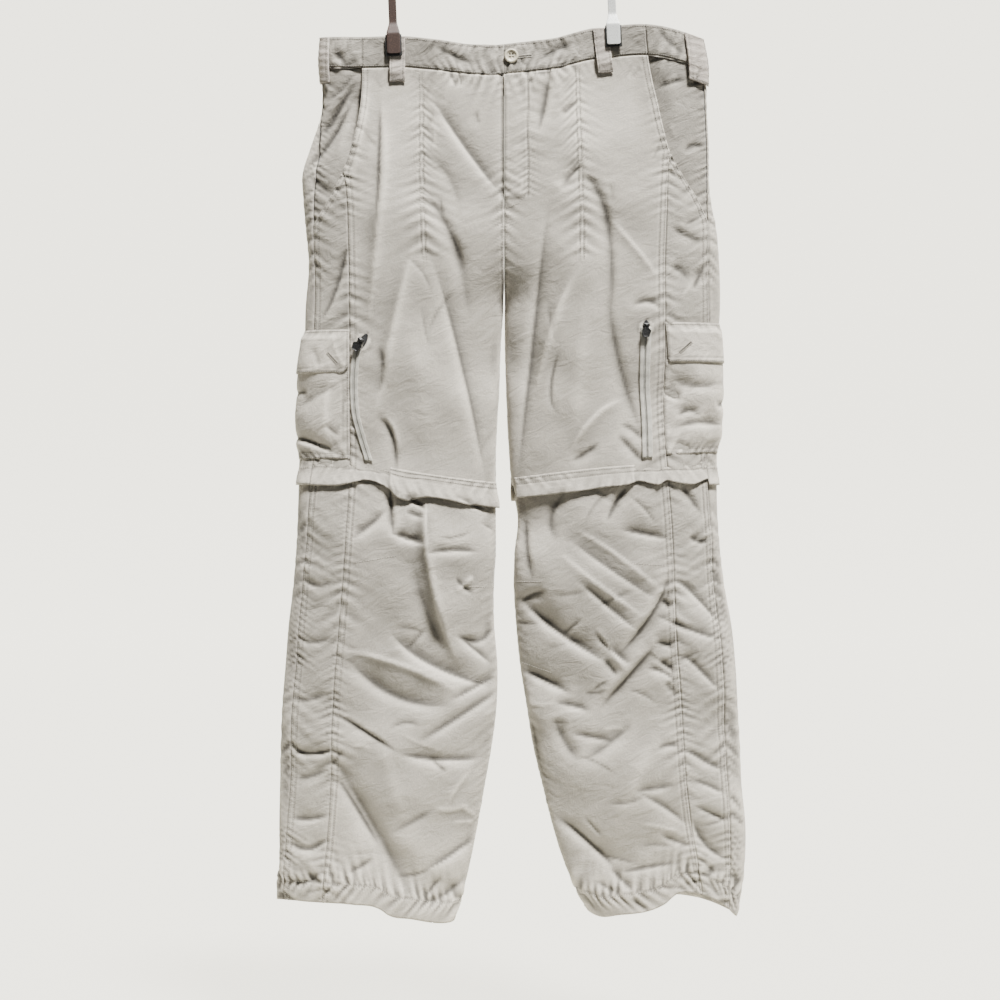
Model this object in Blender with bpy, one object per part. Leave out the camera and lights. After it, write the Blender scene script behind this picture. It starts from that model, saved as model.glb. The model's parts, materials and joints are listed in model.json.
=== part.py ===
"""Convertible zip-off trousers hanging by the waistband from a plain two-clip hanger.

Lengths in the tables are millimetres. x runs to the right seen from the front, the front faces -Y and +Z is up.
A height on the cloth is a "drop": millimetres below the highest point of the waistband.
"Right" and "left" are the wearer's, so the right leg has the smaller x.
The origin is the crown of the hanger's hook, where a rail carries it.
"""

import math

import bmesh
import bpy
import numpy as np
from mathutils import Matrix, Vector

MM = 0.001

# Driving sizes of the garment.
WAIST_Z = -141.0
CENTRE_X = 5.0
BAND_HEIGHT = 38.5
HIP_DROP = 150.0
CROTCH_DROP = 355.0
KNEE_CUT = 556.0
SHIN_START = 568.0
HEM_DROP = 1100.0
HEM_HEIGHT = 28.0

# Walls, in the order in which the layers lie.
CLOTH = 1.2
BAND_OUT = 0.9
BAND_IN = 1.3
SEAM_GAP = 0.3
LAYER_GAP = 0.4
BAND_SEAM = 0.6
STRIP_LIFT = 0.6
ZIP_LIFT = 0.9
ROUNDNESS = 0.8

# Outline of the garment: drop, then the x of each fold, from the right leg's outer fold to the left leg's.
OUTLINE_COLUMNS = ("drop", "right_outer", "right_inner", "left_inner", "left_outer")
OUTLINE = (
    (0, -223, 5.0, 5.0, 252),
    (40, -223, 5.0, 5.0, 257),
    (100, -224, 5.0, 5.0, 259),
    (140, -236, 5.0, 5.0, 261),
    (180, -247, 5.0, 5.0, 261),
    (210, -246, 5.0, 5.0, 263),
    (250, -243, 5.0, 5.0, 270),
    (300, -239, 4.9, 5.1, 274),
    (355, -243, 4.2, 5.8, 275),
    (400, -244, 1.0, 6.0, 272),
    (450, -247, -1.0, 7.5, 272),
    (500, -249, -4.5, 10, 272),
    (550, -251, -5.0, 14, 271),
    (600, -252, -5.0, 22, 271),
    (650, -254, -5.0, 18, 274),
    (700, -258, -7.5, 17, 280),
    (750, -264, -7.0, 20, 289),
    (800, -268, -3.0, 25, 294),
    (850, -272, -4.0, 33, 297),
    (900, -274, -10, 41, 300),
    (950, -275, -19, 53, 302),
    (1000, -276, -29, 66, 307),
    (1050, -276, -41, 83, 305),
    (1100, -280, -56, 108, 297),
)

# Where the long seams run on the front: drop, then the x of the front seam and of the side seam on each leg.
SEAM_COLUMNS = ("drop", "right_side", "right_front", "left_front", "left_side")
SEAMS = (
    (0, -223.0, -188, 209, 251.5),
    (120, -226.0, -188, 209, 258.0),
    (240, -232.0, -188, 206, 259.0),
    (320, -231.0, -187, 204, 259.5),
    (400, -231.0, -186, 204, 259.5),
    (500, -231.0, -186, 203, 258.0),
    (560, -234.0, -186, 207, 257.0),
    (650, -241.0, -191, 214, 263.0),
    (750, -250.0, -199, 217, 272.0),
    (850, -258.0, -207, 225, 279.0),
    (950, -262.5, -210, 231, 283.0),
    (1050, -268.0, -217, 244, 287.0),
    (1100, -271.0, -221, 252, 286.0),
)

# Curved mouth of each hand pocket: drop and x.
POCKET_MOUTH = {
    "right": ((0, -172), (72, -173), (102, -176), (135, -182), (172, -193), (209, -209), (247, -231)),
    "left": ((0, 181), (36, 184), (72, 190), (98, 196), (131, 203), (161, 212), (188, 228), (216, 247), (240, 258)),
}
MOUTH_END = {"right": 247.0, "left": 240.0}
MOUTH_SEAM = {"right": 178.0, "left": 158.0}
POCKET_TUCK = 0.10

# Half depths of the hanging garment and the drift of its middle: drop, front, back, middle y.
DEPTHS = (
    (0, 15, 15, 0),
    (60, 22, 24, 0),
    (150, 31, 37, 0),
    (250, 35, 43, 0),
    (355, 33, 40, 0),
    (450, 30, 34, 0),
    (560, 29, 31, -1),
    (650, 32, 28, -4),
    (760, 30, 27, -2),
    (900, 27, 27, 0),
    (1000, 25, 26, 1),
    (1100, 23, 24, 2),
)

# How far rows of cloth dip below level: x and dip, at the waist, at the knee zips and at the hems.
WAIST_DIP = (
    (-224, 16), (-194, 17), (-142, 15), (-115, 15), (-80, 20), (-45, 26), (-15, 28), (4, 27), (39, 23),
    (74, 18), (92, 12), (116, 5), (132, 4), (152, 1), (178, 0), (205, 4), (240, 14), (258, 20),
)
KNEE_DIP = {
    "right": ((-252, 0), (-186, 1), (-140, 7), (-100, 14), (-34, 23), (-4, 26)),
    "left": ((20, 20), (78, 13), (147, 6), (205, 3), (272, 0)),
}
HEM_DIP = {
    "right": ((-278, -8), (-226, -7), (-184, -5), (-148, 2), (-138, 9), (-110, 14), (-69, 20), (-52, 18)),
    "left": ((109, 6), (125, 12), (148, 9), (191, 1), (204, -5), (219, -17), (235, -19), (256, -14), (281, -1),
             (297, 15)),
}
BACK_HEM_DIP = {
    "right": ((-278, -6), (-200, -2), (-120, 9), (-52, 15)),
    "left": ((109, 4), (160, 4), (220, -8), (261, -2), (297, 12)),
}

# The largest folds: ends (x, drop) and (x, drop), bow of the line, half width, height (negative for a valley).
FOLD_COLUMNS = ("x0", "drop0", "x1", "drop1", "bow", "width", "height")
FRONT_FOLDS = (
    (-149, 62, -175, 281, 6, 10, -5),
    (-164, 80, -184, 200, 4, 12, 3),
    (-84, 91, 2, 212, 6, 9, -4),
    (-79, 223, -40, 340, 5, 14, -5),
    (-114, 315, -144, 432, 5, 14, -4),
    (-100, 350, -72, 530, 0, 40, 5),
    (-70, 286, -14, 545, 6, 9, -3),
    (69, 66, 47, 225, -9, 9, -5),
    (112, 200, 141, 315, -7, 11, -6),
    (140, 300, 142, 395, 4, 11, -5),
    (141, 395, 175, 515, -6, 11, -5),
    (60, 256, 28, 540, 5, 9, -3),
    (94, 325, 50, 460, 4, 14, 4),
    (105, 360, 90, 530, 0, 38, 5),
    (-137, 590, -129, 645, 0, 9, -5),
    (-131, 640, -93, 656, 0, 10, -6),
    (-94, 660, -51, 790, 4, 10, -6),
    (-134, 762, -28, 822, -12, 12, -6),
    (-187, 795, -69, 846, -10, 15, -5),
    (-195, 925, -106, 1085, 5, 14, -6),
    (-100, 1030, -32, 992, 4, 12, -4),
    (-126, 904, -33, 917, -3, 9, -4),
    (-150, 870, -115, 1000, 0, 34, 5),
    (81, 631, 194, 709, 0, 9, 4),
    (56, 663, 175, 750, 0, 9, 4),
    (27, 717, 125, 792, -8, 10, -6),
    (33, 809, 88, 832, 0, 9, -5),
    (200, 716, 156, 781, 0, 11, -5),
    (181, 794, 125, 852, 0, 12, -6),
    (75, 869, 104, 918, -5, 15, -5),
    (66, 982, 156, 1056, -8, 10, -5),
    (190, 890, 140, 1000, 0, 32, 5),
)
BACK_FOLDS = (
    (-132, 70, -62, 300, 10, 18, -6),
    (142, 70, 78, 300, -10, 18, -6),
    (-178, 120, -186, 400, -8, 16, -5),
    (196, 130, 205, 400, 8, 16, -5),
    (-12, 352, -120, 425, 6, 15, -5),
    (20, 352, 128, 430, -6, 15, -5),
    (-110, 330, -95, 530, 0, 38, 6),
    (120, 330, 110, 530, 0, 38, 6),
    (-232, 628, -70, 690, 10, 14, -6),
    (-215, 735, -45, 690, -8, 13, -5),
    (250, 640, 70, 700, 8, 14, -6),
    (262, 760, 60, 720, -8, 13, -5),
    (-200, 800, -130, 1010, 8, 18, -5),
    (-110, 840, -90, 1040, 0, 30, 5),
    (250, 830, 190, 1020, -8, 18, -5),
    (120, 860, 160, 1040, 0, 30, 5),
)

# The hanger: clips grip the waistband at these x, drops are those of their lower ends.
CLIP_X = {"right": -132.0, "left": 142.0}
CLIP_FOOT = {"right": 39.6, "left": 28.0}
HANGER_TILT = math.radians(2.4)
PINCH_PLATEAU = 20.0
PINCHED_DEPTH = 3.4
BAR_RADIUS = 3.0
BAR_LENGTH = 330.0
BAR_DROP = 95.0
HOOK_RADIUS = 22.0
HOOK_WIRE = 2.0
JAW_HEIGHT = 27.0
JAW_WIDTH = 16.8
PAD_WIDTH = 20.4
PAD_THICK = 1.2
STRIP_THICK = 1.2

SIGN = {"right": -1.0, "left": 1.0}

# Columns of the panels between their seams, and how many millimetres of cloth a radian of turning counts for.
FRONT_COLUMNS = 11
SIDE_COLUMNS = 2
BACK_COLUMNS = 9
FACING_COLUMNS = 3
TURN_WEIGHT = 22.0

# Rows of the long panels, close together round the crotch. Pieces that lie on a panel share its rows.
UPPER_ROWS = (60, 86, 112, 138, 163, 188, 213, 238, 262, 286, 308, 326, 340, 349, 355, 364)
CARGO_ROWS = {
    "right": (383, 396, 416, 437, 462, 488, 518, 543),
    "left": (374, 388, 406, 423, 449, 477, 509, 535),
}
KNEE_ROWS = (546, KNEE_CUT, SHIN_START, 575)
LOWER_ROWS = tuple(range(594, 1080, 25)) + (1086,)


def smooth_curve(points):
    """A function that runs smoothly through (position, value) points."""
    at, value = (np.array(column, float) for column in zip(*points))
    slope = np.gradient(value, at)

    def read(position):
        position = np.clip(np.asarray(position, float), at[0], at[-1])
        k = np.clip(np.searchsorted(at, position, side="right") - 1, 0, len(at) - 2)
        span = at[k + 1] - at[k]
        t = (position - at[k]) / span
        return (
            (1 + 2 * t) * (1 - t) ** 2 * value[k]
            + t * (1 - t) ** 2 * span * slope[k]
            + t * t * (3 - 2 * t) * value[k + 1]
            + t * t * (t - 1) * span * slope[k + 1]
        )

    return read


def column(table, columns, name):
    """One named column of a table against its first column, as a smooth curve."""
    k = columns.index(name)
    return smooth_curve([(row[0], row[k]) for row in table])


def fade(start, end, value):
    """0 before start, 1 after end, smooth in between."""
    t = np.clip((np.asarray(value, float) - start) / (end - start), 0, 1)
    return t * t * (3 - 2 * t)


OUTER = {leg: column(OUTLINE, OUTLINE_COLUMNS, leg + "_outer") for leg in SIGN}
INNER = {leg: column(OUTLINE, OUTLINE_COLUMNS, leg + "_inner") for leg in SIGN}
FRONT_SEAM = {leg: column(SEAMS, SEAM_COLUMNS, leg + "_front") for leg in SIGN}
SIDE_SEAM = {leg: column(SEAMS, SEAM_COLUMNS, leg + "_side") for leg in SIGN}
MOUTH = {leg: smooth_curve(POCKET_MOUTH[leg]) for leg in SIGN}
FRONT_DEPTH, BACK_DEPTH, MIDDLE_Y = (smooth_curve([(row[0], row[k]) for row in DEPTHS]) for k in (1, 2, 3))
DIP_AT_WAIST = smooth_curve(WAIST_DIP)
DIP_AT_KNEE = {leg: smooth_curve(KNEE_DIP[leg]) for leg in SIGN}
DIP_AT_HEM = {leg: smooth_curve(HEM_DIP[leg]) for leg in SIGN}
DIP_AT_BACK_HEM = {leg: smooth_curve(BACK_HEM_DIP[leg]) for leg in SIGN}


def crotch_angle(drop):
    """The angle on a leg's ring at which the crotch seam cuts it: a quarter turn at the hips, none below the crotch."""
    t = np.clip((np.asarray(drop, float) - HIP_DROP) / (CROTCH_DROP - HIP_DROP), 0, 1)
    return math.pi / 2 * np.sqrt(1 - t * t)


def half_width(leg, drop):
    """Half width of a leg's whole ring, of which only the part outside the crotch seam is cloth."""
    return np.abs(OUTER[leg](drop) - INNER[leg](drop)) / (1 + np.cos(crotch_angle(drop)))


def angle_at(leg, x, drop):
    """The angle on the front of a leg's ring that lies at x."""
    wide = half_width(leg, drop)
    middle = OUTER[leg](drop) - SIGN[leg] * wide
    return np.arccos(np.clip(-SIGN[leg] * (x - middle) / wide, -1, 1))


def fold_height(table, x, drop):
    """Height of all the folds in a table at (x, drop)."""
    height = np.zeros(np.broadcast(x, drop).shape)
    for row in table:
        fold = dict(zip(FOLD_COLUMNS, row))
        along = np.array((fold["x1"] - fold["x0"], fold["drop1"] - fold["drop0"]), float)
        length = np.hypot(*along)
        along /= length
        to_x, to_drop = x - fold["x0"], drop - fold["drop0"]
        t = (to_x * along[0] + to_drop * along[1]) / length
        side = to_x * along[1] - to_drop * along[0] - fold["bow"] * 4 * t * (1 - t)
        ends = fade(-0.12, 0.22, t) * (1 - fade(0.78, 1.12, t))
        height += fold["height"] * ends * np.exp(-((side / fold["width"]) ** 2))
    return height


def pinch(x, drop):
    """1 where a clip presses front and back together, 0 away from the clips."""
    total = np.zeros(np.broadcast(x, drop).shape)
    for centre in CLIP_X.values():
        beside = np.maximum(np.abs(x - centre) - PINCH_PLATEAU, 0) / 34
        below = np.maximum(drop - 40, 0) / 75
        total = np.maximum(total, np.exp(-(beside**2) - below**2))
    return total


def bare_ring(leg, angle, drop):
    """Points of a leg's ring before its folds, as (x, y, z) in millimetres, and its plain x."""
    wide = half_width(leg, drop)
    x = OUTER[leg](drop) - SIGN[leg] * wide * (1 + np.cos(angle))
    s = np.sin(angle)
    swell = np.abs(s) ** ROUNDNESS
    y = MIDDLE_Y(drop) + np.where(s >= 0, -FRONT_DEPTH(drop), BACK_DEPTH(drop)) * swell
    pressed = pinch(x, drop)
    y = y * (1 - pressed) + np.where(s >= 0, -PINCHED_DEPTH, PINCHED_DEPTH) * pressed * np.sign(swell)
    at_knee = 0.5 + 0.5 * np.cos(np.pi * np.clip((drop - KNEE_CUT) / 180, -1, 1))
    hem_front, hem_back = DIP_AT_HEM[leg](x), DIP_AT_BACK_HEM[leg](x)
    hem_share = fade(-0.35, 0.35, s)
    z = WAIST_Z - (
        drop
        + DIP_AT_WAIST(x) * (1 - fade(BAND_HEIGHT, 330, drop))
        + DIP_AT_KNEE[leg](x) * at_knee
        + (hem_front * hem_share + hem_back * (1 - hem_share)) * fade(930, HEM_DROP, drop)
    )
    return np.stack((x, y, z), -1)


def cloth_point(leg, angle, drop, out):
    """A point out millimetres outside the garment's outer surface, folds included."""
    angle, drop, out = np.broadcast_arrays(np.asarray(angle, float), np.asarray(drop, float), np.asarray(out, float))
    point = bare_ring(leg, angle, drop)
    step = 0.02
    across = bare_ring(leg, angle + step, drop) - bare_ring(leg, angle - step, drop)
    down = bare_ring(leg, angle, drop + 1) - bare_ring(leg, angle, drop - 1)
    normal = -SIGN[leg] * np.cross(across, down)
    normal /= np.linalg.norm(normal, axis=-1, keepdims=True)
    fallen = WAIST_Z - point[..., 2]
    s = np.sin(angle)
    front = fold_height(FRONT_FOLDS, point[..., 0], fallen)
    back = fold_height(BACK_FOLDS, point[..., 0], fallen)
    calm = fade(0.05, 0.5, np.abs(s)) * (1 - 0.9 * pinch(point[..., 0], drop))
    height = np.where(s >= 0, front, back) * calm
    return point + normal * (height + out)[..., None]


def spread_angles(leg, start, end, drop, columns):
    """Angles of a row of columns, closer where the ring turns sharply, with half a seam gap left off both ends."""
    steps = np.linspace(start, end, 81)
    strides = np.diff(bare_ring(leg, steps, drop), axis=0)
    lengths = np.linalg.norm(strides, axis=1)
    length = np.concatenate(((0,), np.cumsum(lengths)))
    heading = np.unwrap(np.arctan2(strides[:, 1], strides[:, 0]))
    turning = np.abs(np.gradient(heading))
    measure = np.concatenate(((0,), np.cumsum(lengths + TURN_WEIGHT * turning)))
    first, last = np.interp((SEAM_GAP / 2, length[-1] - SEAM_GAP / 2), length, measure)
    return np.interp(np.linspace(first, last, columns + 1), measure, steps)


def add_object(name, bm, colour, roughness=0.85, metallic=0.0, smooth_angle=None):
    """Makes a named object from a bmesh in millimetres, with a material of its own."""
    bmesh.ops.scale(bm, vec=Vector((MM, MM, MM)), verts=bm.verts)
    bmesh.ops.recalc_face_normals(bm, faces=bm.faces)
    mesh = bpy.data.meshes.new(name)
    bm.to_mesh(mesh)
    bm.free()
    mesh.shade_smooth()
    mesh.set_sharp_from_angle(angle=smooth_angle or math.radians(50))
    thing = bpy.data.objects.new(name, mesh)
    bpy.context.scene.collection.objects.link(thing)
    material = bpy.data.materials.new(name)
    material.use_nodes = True
    shader = material.node_tree.nodes["Principled BSDF"]
    shader.inputs["Base Color"].default_value = (*colour, 1)
    shader.inputs["Roughness"].default_value = roughness
    shader.inputs["Metallic"].default_value = metallic
    mesh.materials.append(material)
    return thing


def wall(columns, rows, place):
    """A closed wall over a grid. place(across, down, inner) gives points for shares from 0 to 1 of the grid."""
    bm = bmesh.new()
    bmesh.ops.create_grid(bm, x_segments=columns, y_segments=rows, size=0.5)
    outer = list(bm.verts)
    made = bmesh.ops.extrude_face_region(bm, geom=list(bm.faces), use_keep_orig=True)
    inner = [item for item in made["geom"] if isinstance(item, bmesh.types.BMVert)]
    for verts, is_inner in ((outer, False), (inner, True)):
        shares = np.array([(v.co.x + 0.5, v.co.y + 0.5) for v in verts])
        points = place(shares[:, 0], shares[:, 1], is_inner)
        for vert, point in zip(verts, points):
            vert.co = point
    return bm


def column_angles(leg, edges, counts):
    """A function of the drop that gives a row's column angles, counts[k] columns from edges[k] to edges[k + 1]."""

    def angles_at(drop):
        marks = [float(edge(drop)) for edge in edges]
        angles = []
        for start, end, count in zip(marks, marks[1:], counts):
            part = spread_angles(leg, start, end, drop, count)
            angles.extend(part[1:] if angles else part)
        return np.array(angles)

    return angles_at


def panel(leg, rows, angles_at, outer=0.0, inner=-CLOTH):
    """A piece of cloth over the given rows. outer and inner are its sides, as lifts or functions of (across, drop)."""
    grid = [angles_at(drop) for drop in rows]
    columns = len(grid[0]) - 1

    def place(across, down, is_inner):
        row = np.rint(down * (len(rows) - 1)).astype(int)
        column_of = np.rint(across * columns).astype(int)
        drop = np.array(rows, float)[row]
        angle = np.array(grid)[row, column_of]
        lift = inner if is_inner else outer
        return cloth_point(leg, angle, drop, lift(across, drop) if callable(lift) else lift)

    return wall(columns, len(rows) - 1, place)


COLOURS = {
    "cloth": (0.56, 0.54, 0.49),
    "zip": (0.66, 0.66, 0.60),
    "black": (0.02, 0.02, 0.02),
    "button": (0.80, 0.77, 0.66),
    "steel": (0.62, 0.63, 0.62),
    "brown": (0.11, 0.07, 0.055),
}


def front_seam_angle(leg):
    return lambda drop: angle_at(leg, FRONT_SEAM[leg](drop), drop)


def side_seam_angle(leg):
    return lambda drop: angle_at(leg, SIDE_SEAM[leg](drop), drop)


def mouth_angle(leg):
    return lambda drop: angle_at(leg, MOUTH[leg](drop), drop)


def front_edge_angle(leg):
    """Outer edge of the thigh's front panel: the pocket mouth, then the front seam."""

    def edge(drop):
        return mouth_angle(leg)(drop) if drop < MOUTH_SEAM[leg] else front_seam_angle(leg)(drop)

    return edge


def side_edge_angle(leg):
    """Outer edge of the thigh's side panel: the lower end of the pocket mouth, then the side seam."""

    def edge(drop):
        return mouth_angle(leg)(drop) if drop < MOUTH_END[leg] else side_seam_angle(leg)(drop)

    return edge


def full_turn_less(angle_of):
    return lambda drop: 2 * math.pi - angle_of(drop)


def upper_rows(leg):
    """All rows of a thigh panel."""
    return (BAND_HEIGHT + BAND_SEAM, *UPPER_ROWS, *CARGO_ROWS[leg], *KNEE_ROWS[:2])


def front_columns(leg, fineness=1):
    return column_angles(leg, (crotch_angle, front_edge_angle(leg)), (FRONT_COLUMNS * fineness,))


def back_columns(leg):
    return column_angles(leg, (side_seam_angle(leg), full_turn_less(crotch_angle)), (BACK_COLUMNS,))


def build_thigh(leg):
    """Front, side and back panels from the waistband to the knee zip, with the pocket facing under the mouth."""
    rows = upper_rows(leg)
    add_object(f"front_thigh_{leg}", panel(leg, rows, front_columns(leg)), COLOURS["cloth"])
    side_rows = [row for row in rows if row > MOUTH_SEAM[leg] + 8]
    side_columns = column_angles(leg, (front_seam_angle(leg), side_edge_angle(leg)), (SIDE_COLUMNS,))
    add_object(f"side_thigh_{leg}", panel(leg, side_rows, side_columns), COLOURS["cloth"])
    add_object(f"back_thigh_{leg}", panel(leg, rows, back_columns(leg)), COLOURS["cloth"])

    def tucked_edge(drop):
        return mouth_angle(leg)(min(drop, MOUTH_END[leg] - 5)) - POCKET_TUCK

    def facing_side(depth):
        return lambda across, drop: depth - 2.0 * (across < 0.4)

    facing = panel(
        leg,
        [row for row in rows if row < MOUTH_END[leg] - 8],
        column_angles(leg, (tucked_edge, mouth_angle(leg), side_seam_angle(leg)), (1, FACING_COLUMNS)),
        facing_side(-CLOTH - LAYER_GAP),
        facing_side(-2 * CLOTH - LAYER_GAP),
    )
    add_object(f"pocket_facing_{leg}", facing, COLOURS["cloth"])


def hem_wall(across, drop):
    """Inner side of the wall: the hem is turned up twice, so it is thicker there."""
    return -CLOTH - 0.9 * fade(HEM_DROP - HEM_HEIGHT - 8, HEM_DROP - HEM_HEIGHT + 8, drop)


def inner_fold(drop):
    return 0.0


def build_shin(leg):
    """Front, side and back panels of the zip-off lower leg."""
    rows = (*KNEE_ROWS[2:], *LOWER_ROWS, HEM_DROP)
    for name, start, end, columns in (
        ("front_shin", inner_fold, front_seam_angle(leg), FRONT_COLUMNS),
        ("side_shin", front_seam_angle(leg), side_seam_angle(leg), SIDE_COLUMNS),
        ("back_shin", side_seam_angle(leg), full_turn_less(inner_fold), BACK_COLUMNS),
    ):
        shape = panel(leg, rows, column_angles(leg, (start, end), (columns,)), inner=hem_wall)
        add_object(f"{name}_{leg}", shape, COLOURS["cloth"])


def build_waistband(leg):
    """Front waistband piece, and the side and back piece that meets it above the pocket mouth."""
    rows = (0.0, 13, 26, BAND_HEIGHT)
    front = front_columns(leg, 2)
    add_object(f"waistband_front_{leg}", panel(leg, rows, front, BAND_OUT, -BAND_IN), COLOURS["cloth"])
    edges = (mouth_angle(leg), side_seam_angle(leg), full_turn_less(crotch_angle))
    back = column_angles(leg, edges, (FACING_COLUMNS, BACK_COLUMNS))
    add_object(f"waistband_back_{leg}", panel(leg, rows, back, BAND_OUT, -BAND_IN), COLOURS["cloth"])


def strip(leg, path, columns, half_width_of, lift, thick):
    """A band of cloth laid along path, which gives (x, drop) on the front, lift millimetres off the surface."""

    def place(across, down, is_inner):
        x, drop = path(down)
        x = x + (across - 0.5) * 2 * half_width_of(down)
        angle = angle_at(leg, x, drop)
        return cloth_point(leg, angle, drop, lift(down) + (0 if is_inner else thick))

    return lambda rows: wall(columns, rows, place)


LOOP_THICK = 1.5
LOOP_HEIGHT = 57.0
LOOP_HALF = 9.5
LOOP_SLACK = 2.4
LOOP_START = 0.6
FRONT_LOOP_X = {"right": (-128.0, -128.0), "left": (125.0, 132.0)}
SIDE_LOOP_ANGLE = {"right": math.pi - 0.10, "left": math.pi - 0.22}
SIDE_LOOP_SPREAD = 0.42
SIDE_LOOP_SLACK = 1.6


def loop_lift(down):
    """A belt loop lies on the waistband, pressed flat under a clip and a little slack below it."""
    return BAND_OUT + STRIP_LIFT + LOOP_SLACK * np.sin(np.pi * np.clip((down - 0.5) / 0.5, 0, 1)) ** 2


def build_belt_loops(leg):
    """The loop beside the clip and the one at the side."""
    x0, x1 = FRONT_LOOP_X[leg]

    def line(down):
        return x0 + (x1 - x0) * down, LOOP_START + LOOP_HEIGHT * down

    front = strip(leg, line, 2, lambda down: LOOP_HALF, loop_lift, LOOP_THICK)
    add_object(f"belt_loop_front_{leg}", front(8), COLOURS["cloth"])

    def on_side(across, down, is_inner):
        drop = LOOP_START + LOOP_HEIGHT * down
        turn = SIDE_LOOP_ANGLE[leg] + (across - 0.5) * SIDE_LOOP_SPREAD
        return cloth_point(leg, turn, drop, side_loop_lift(down) + (0 if is_inner else LOOP_THICK))

    add_object(f"belt_loop_side_{leg}", wall(4, 8, on_side), COLOURS["cloth"])


def side_loop_lift(down):
    """The side loops stand off the waistband in the middle, as the photograph shows them."""
    return BAND_OUT + STRIP_LIFT + SIDE_LOOP_SLACK * np.sin(np.pi * down) ** 2


def build_back_loop():
    """The loop over the centre back seam."""

    def place(across, down, is_inner):
        drop = LOOP_START + LOOP_HEIGHT * down
        x = CENTRE_X + (across - 0.5) * 2 * LOOP_HALF
        leg_points = {}
        for leg in SIGN:
            turn = 2 * math.pi - angle_at(leg, x, drop)
            lift = side_loop_lift(down) + (0 if is_inner else LOOP_THICK)
            leg_points[leg] = cloth_point(leg, turn, drop, lift)
        return np.where((x < CENTRE_X)[:, None], leg_points["right"], leg_points["left"])

    add_object("belt_loop_back", wall(2, 8, place), COLOURS["cloth"])


FLY_COLUMNS = 2
FLY_END = 213


def build_fly():
    """The fly facing, folded under the left front, which the curved stitching holds."""
    columns = front_columns("left")
    rows = (BAND_HEIGHT + BAND_SEAM, *(row for row in UPPER_ROWS if row <= FLY_END))
    top = -CLOTH - LAYER_GAP
    facing = panel("left", rows, lambda drop: columns(drop)[: FLY_COLUMNS + 1], top, top - CLOTH)
    add_object("fly_facing", facing, COLOURS["cloth"])


KNEE_BAND_LIFT = 3.2
KNEE_OPEN_COLUMNS = {"right": 0, "left": 1}


def knee_lift(across, drop):
    """The storm flap is stitched at its top and stands off the leg at its lower edge."""
    return SEAM_GAP + KNEE_BAND_LIFT * fade(KNEE_ROWS[0] + 2, KNEE_ROWS[-1], drop)


def knee_lift_outer(across, drop):
    return knee_lift(across, drop) + CLOTH


def build_knee(leg):
    """The storm flap round the knee, in a front and a back length, and the zip under it."""
    full_turn = full_turn_less(inner_fold)
    front = column_angles(
        leg, (inner_fold, front_seam_angle(leg), side_seam_angle(leg)), (FRONT_COLUMNS, SIDE_COLUMNS)
    )
    back = column_angles(leg, (side_seam_angle(leg), full_turn), (BACK_COLUMNS,))
    for name, angles in (
        ("knee_flap_front", lambda drop: front(drop)[KNEE_OPEN_COLUMNS[leg] :]),
        ("knee_flap_back", back),
    ):
        add_object(f"{name}_{leg}", panel(leg, KNEE_ROWS, angles, knee_lift_outer, knee_lift), COLOURS["cloth"])
    edges = (inner_fold, front_seam_angle(leg), side_seam_angle(leg), full_turn)
    tape = column_angles(leg, edges, (FRONT_COLUMNS, SIDE_COLUMNS, BACK_COLUMNS))
    top = -CLOTH - LAYER_GAP
    add_object(f"knee_zip_{leg}", panel(leg, KNEE_ROWS, tape, top, top - 1.0), COLOURS["zip"])


FLAP_ROWS = 4
CARGO_BULGE = 6.5
CARGO_BACK_COLUMNS = 4


def cargo_columns(leg):
    """The cargo pocket reaches from the front seam round the side to the back."""
    side = column_angles(leg, (front_seam_angle(leg), side_seam_angle(leg)), (SIDE_COLUMNS,))
    back = back_columns(leg)
    return lambda drop: np.concatenate((side(drop), back(drop)[1 : CARGO_BACK_COLUMNS + 1]))


def cargo_lift(leg, across, drop):
    """How far the cargo pocket stands off the leg: nothing at its sewn edges, most low down in the middle."""
    top, bottom = CARGO_ROWS[leg][1], CARGO_ROWS[leg][-1]
    t = np.clip((drop - top) / (bottom - top), 0, 1)
    round_edges = fade(0, 0.28, across) * (1 - fade(0.72, 1, across))
    return SEAM_GAP + CARGO_BULGE * round_edges * (0.3 + 0.7 * np.sin(np.pi * t) ** 0.8) * (1 - fade(0.85, 1, t))


def build_cargo_pocket(leg):
    """The bellows pocket on the thigh and the flap over its mouth."""
    rows = CARGO_ROWS[leg]
    columns = cargo_columns(leg)

    def body_outer(across, drop):
        return cargo_lift(leg, across, drop) + CLOTH

    def flap_inner(across, drop):
        climb = fade(rows[0], rows[1] - 1, drop)
        return SEAM_GAP + (body_outer(across, drop) + LAYER_GAP - SEAM_GAP) * climb

    def flap_outer(across, drop):
        return flap_inner(across, drop) + 1.5

    body = panel(leg, rows[1:], columns, body_outer, lambda across, drop: cargo_lift(leg, across, drop))
    add_object(f"cargo_pocket_{leg}", body, COLOURS["cloth"])
    flap = panel(leg, rows[:FLAP_ROWS], columns, flap_outer, flap_inner)
    add_object(f"cargo_flap_{leg}", flap, COLOURS["cloth"])


THIGH_ZIP = {
    "right": ((390, -169), (403, -174), (441, -180), (464, -180), (487, -178), (510, -172), (542, -162)),
    "left": ((372, 180), (388, 180), (418, 179), (452, 179), (487, 181), (538, 182)),
}
ZIP_HALF = {"right": 3.6, "left": 5.0}
ZIP_THICK = 0.8
SLIDER_SIZE = (8.4, 3.0, 11.0)
SLIDER_DROP = {"right": 399.0, "left": 381.0}
SLIDER_X = {"right": -173.0, "left": 180.0}
SLIDER_TURN = {"right": math.radians(30), "left": 0.0}
PULL_SIZE = (9.6, 1.2, 11.5)
PIN_RADIUS = 0.6
EYE_RADIUS = 1.7
EYE_WIDTH = 4.4
EAR_THICK = 0.9


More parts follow.
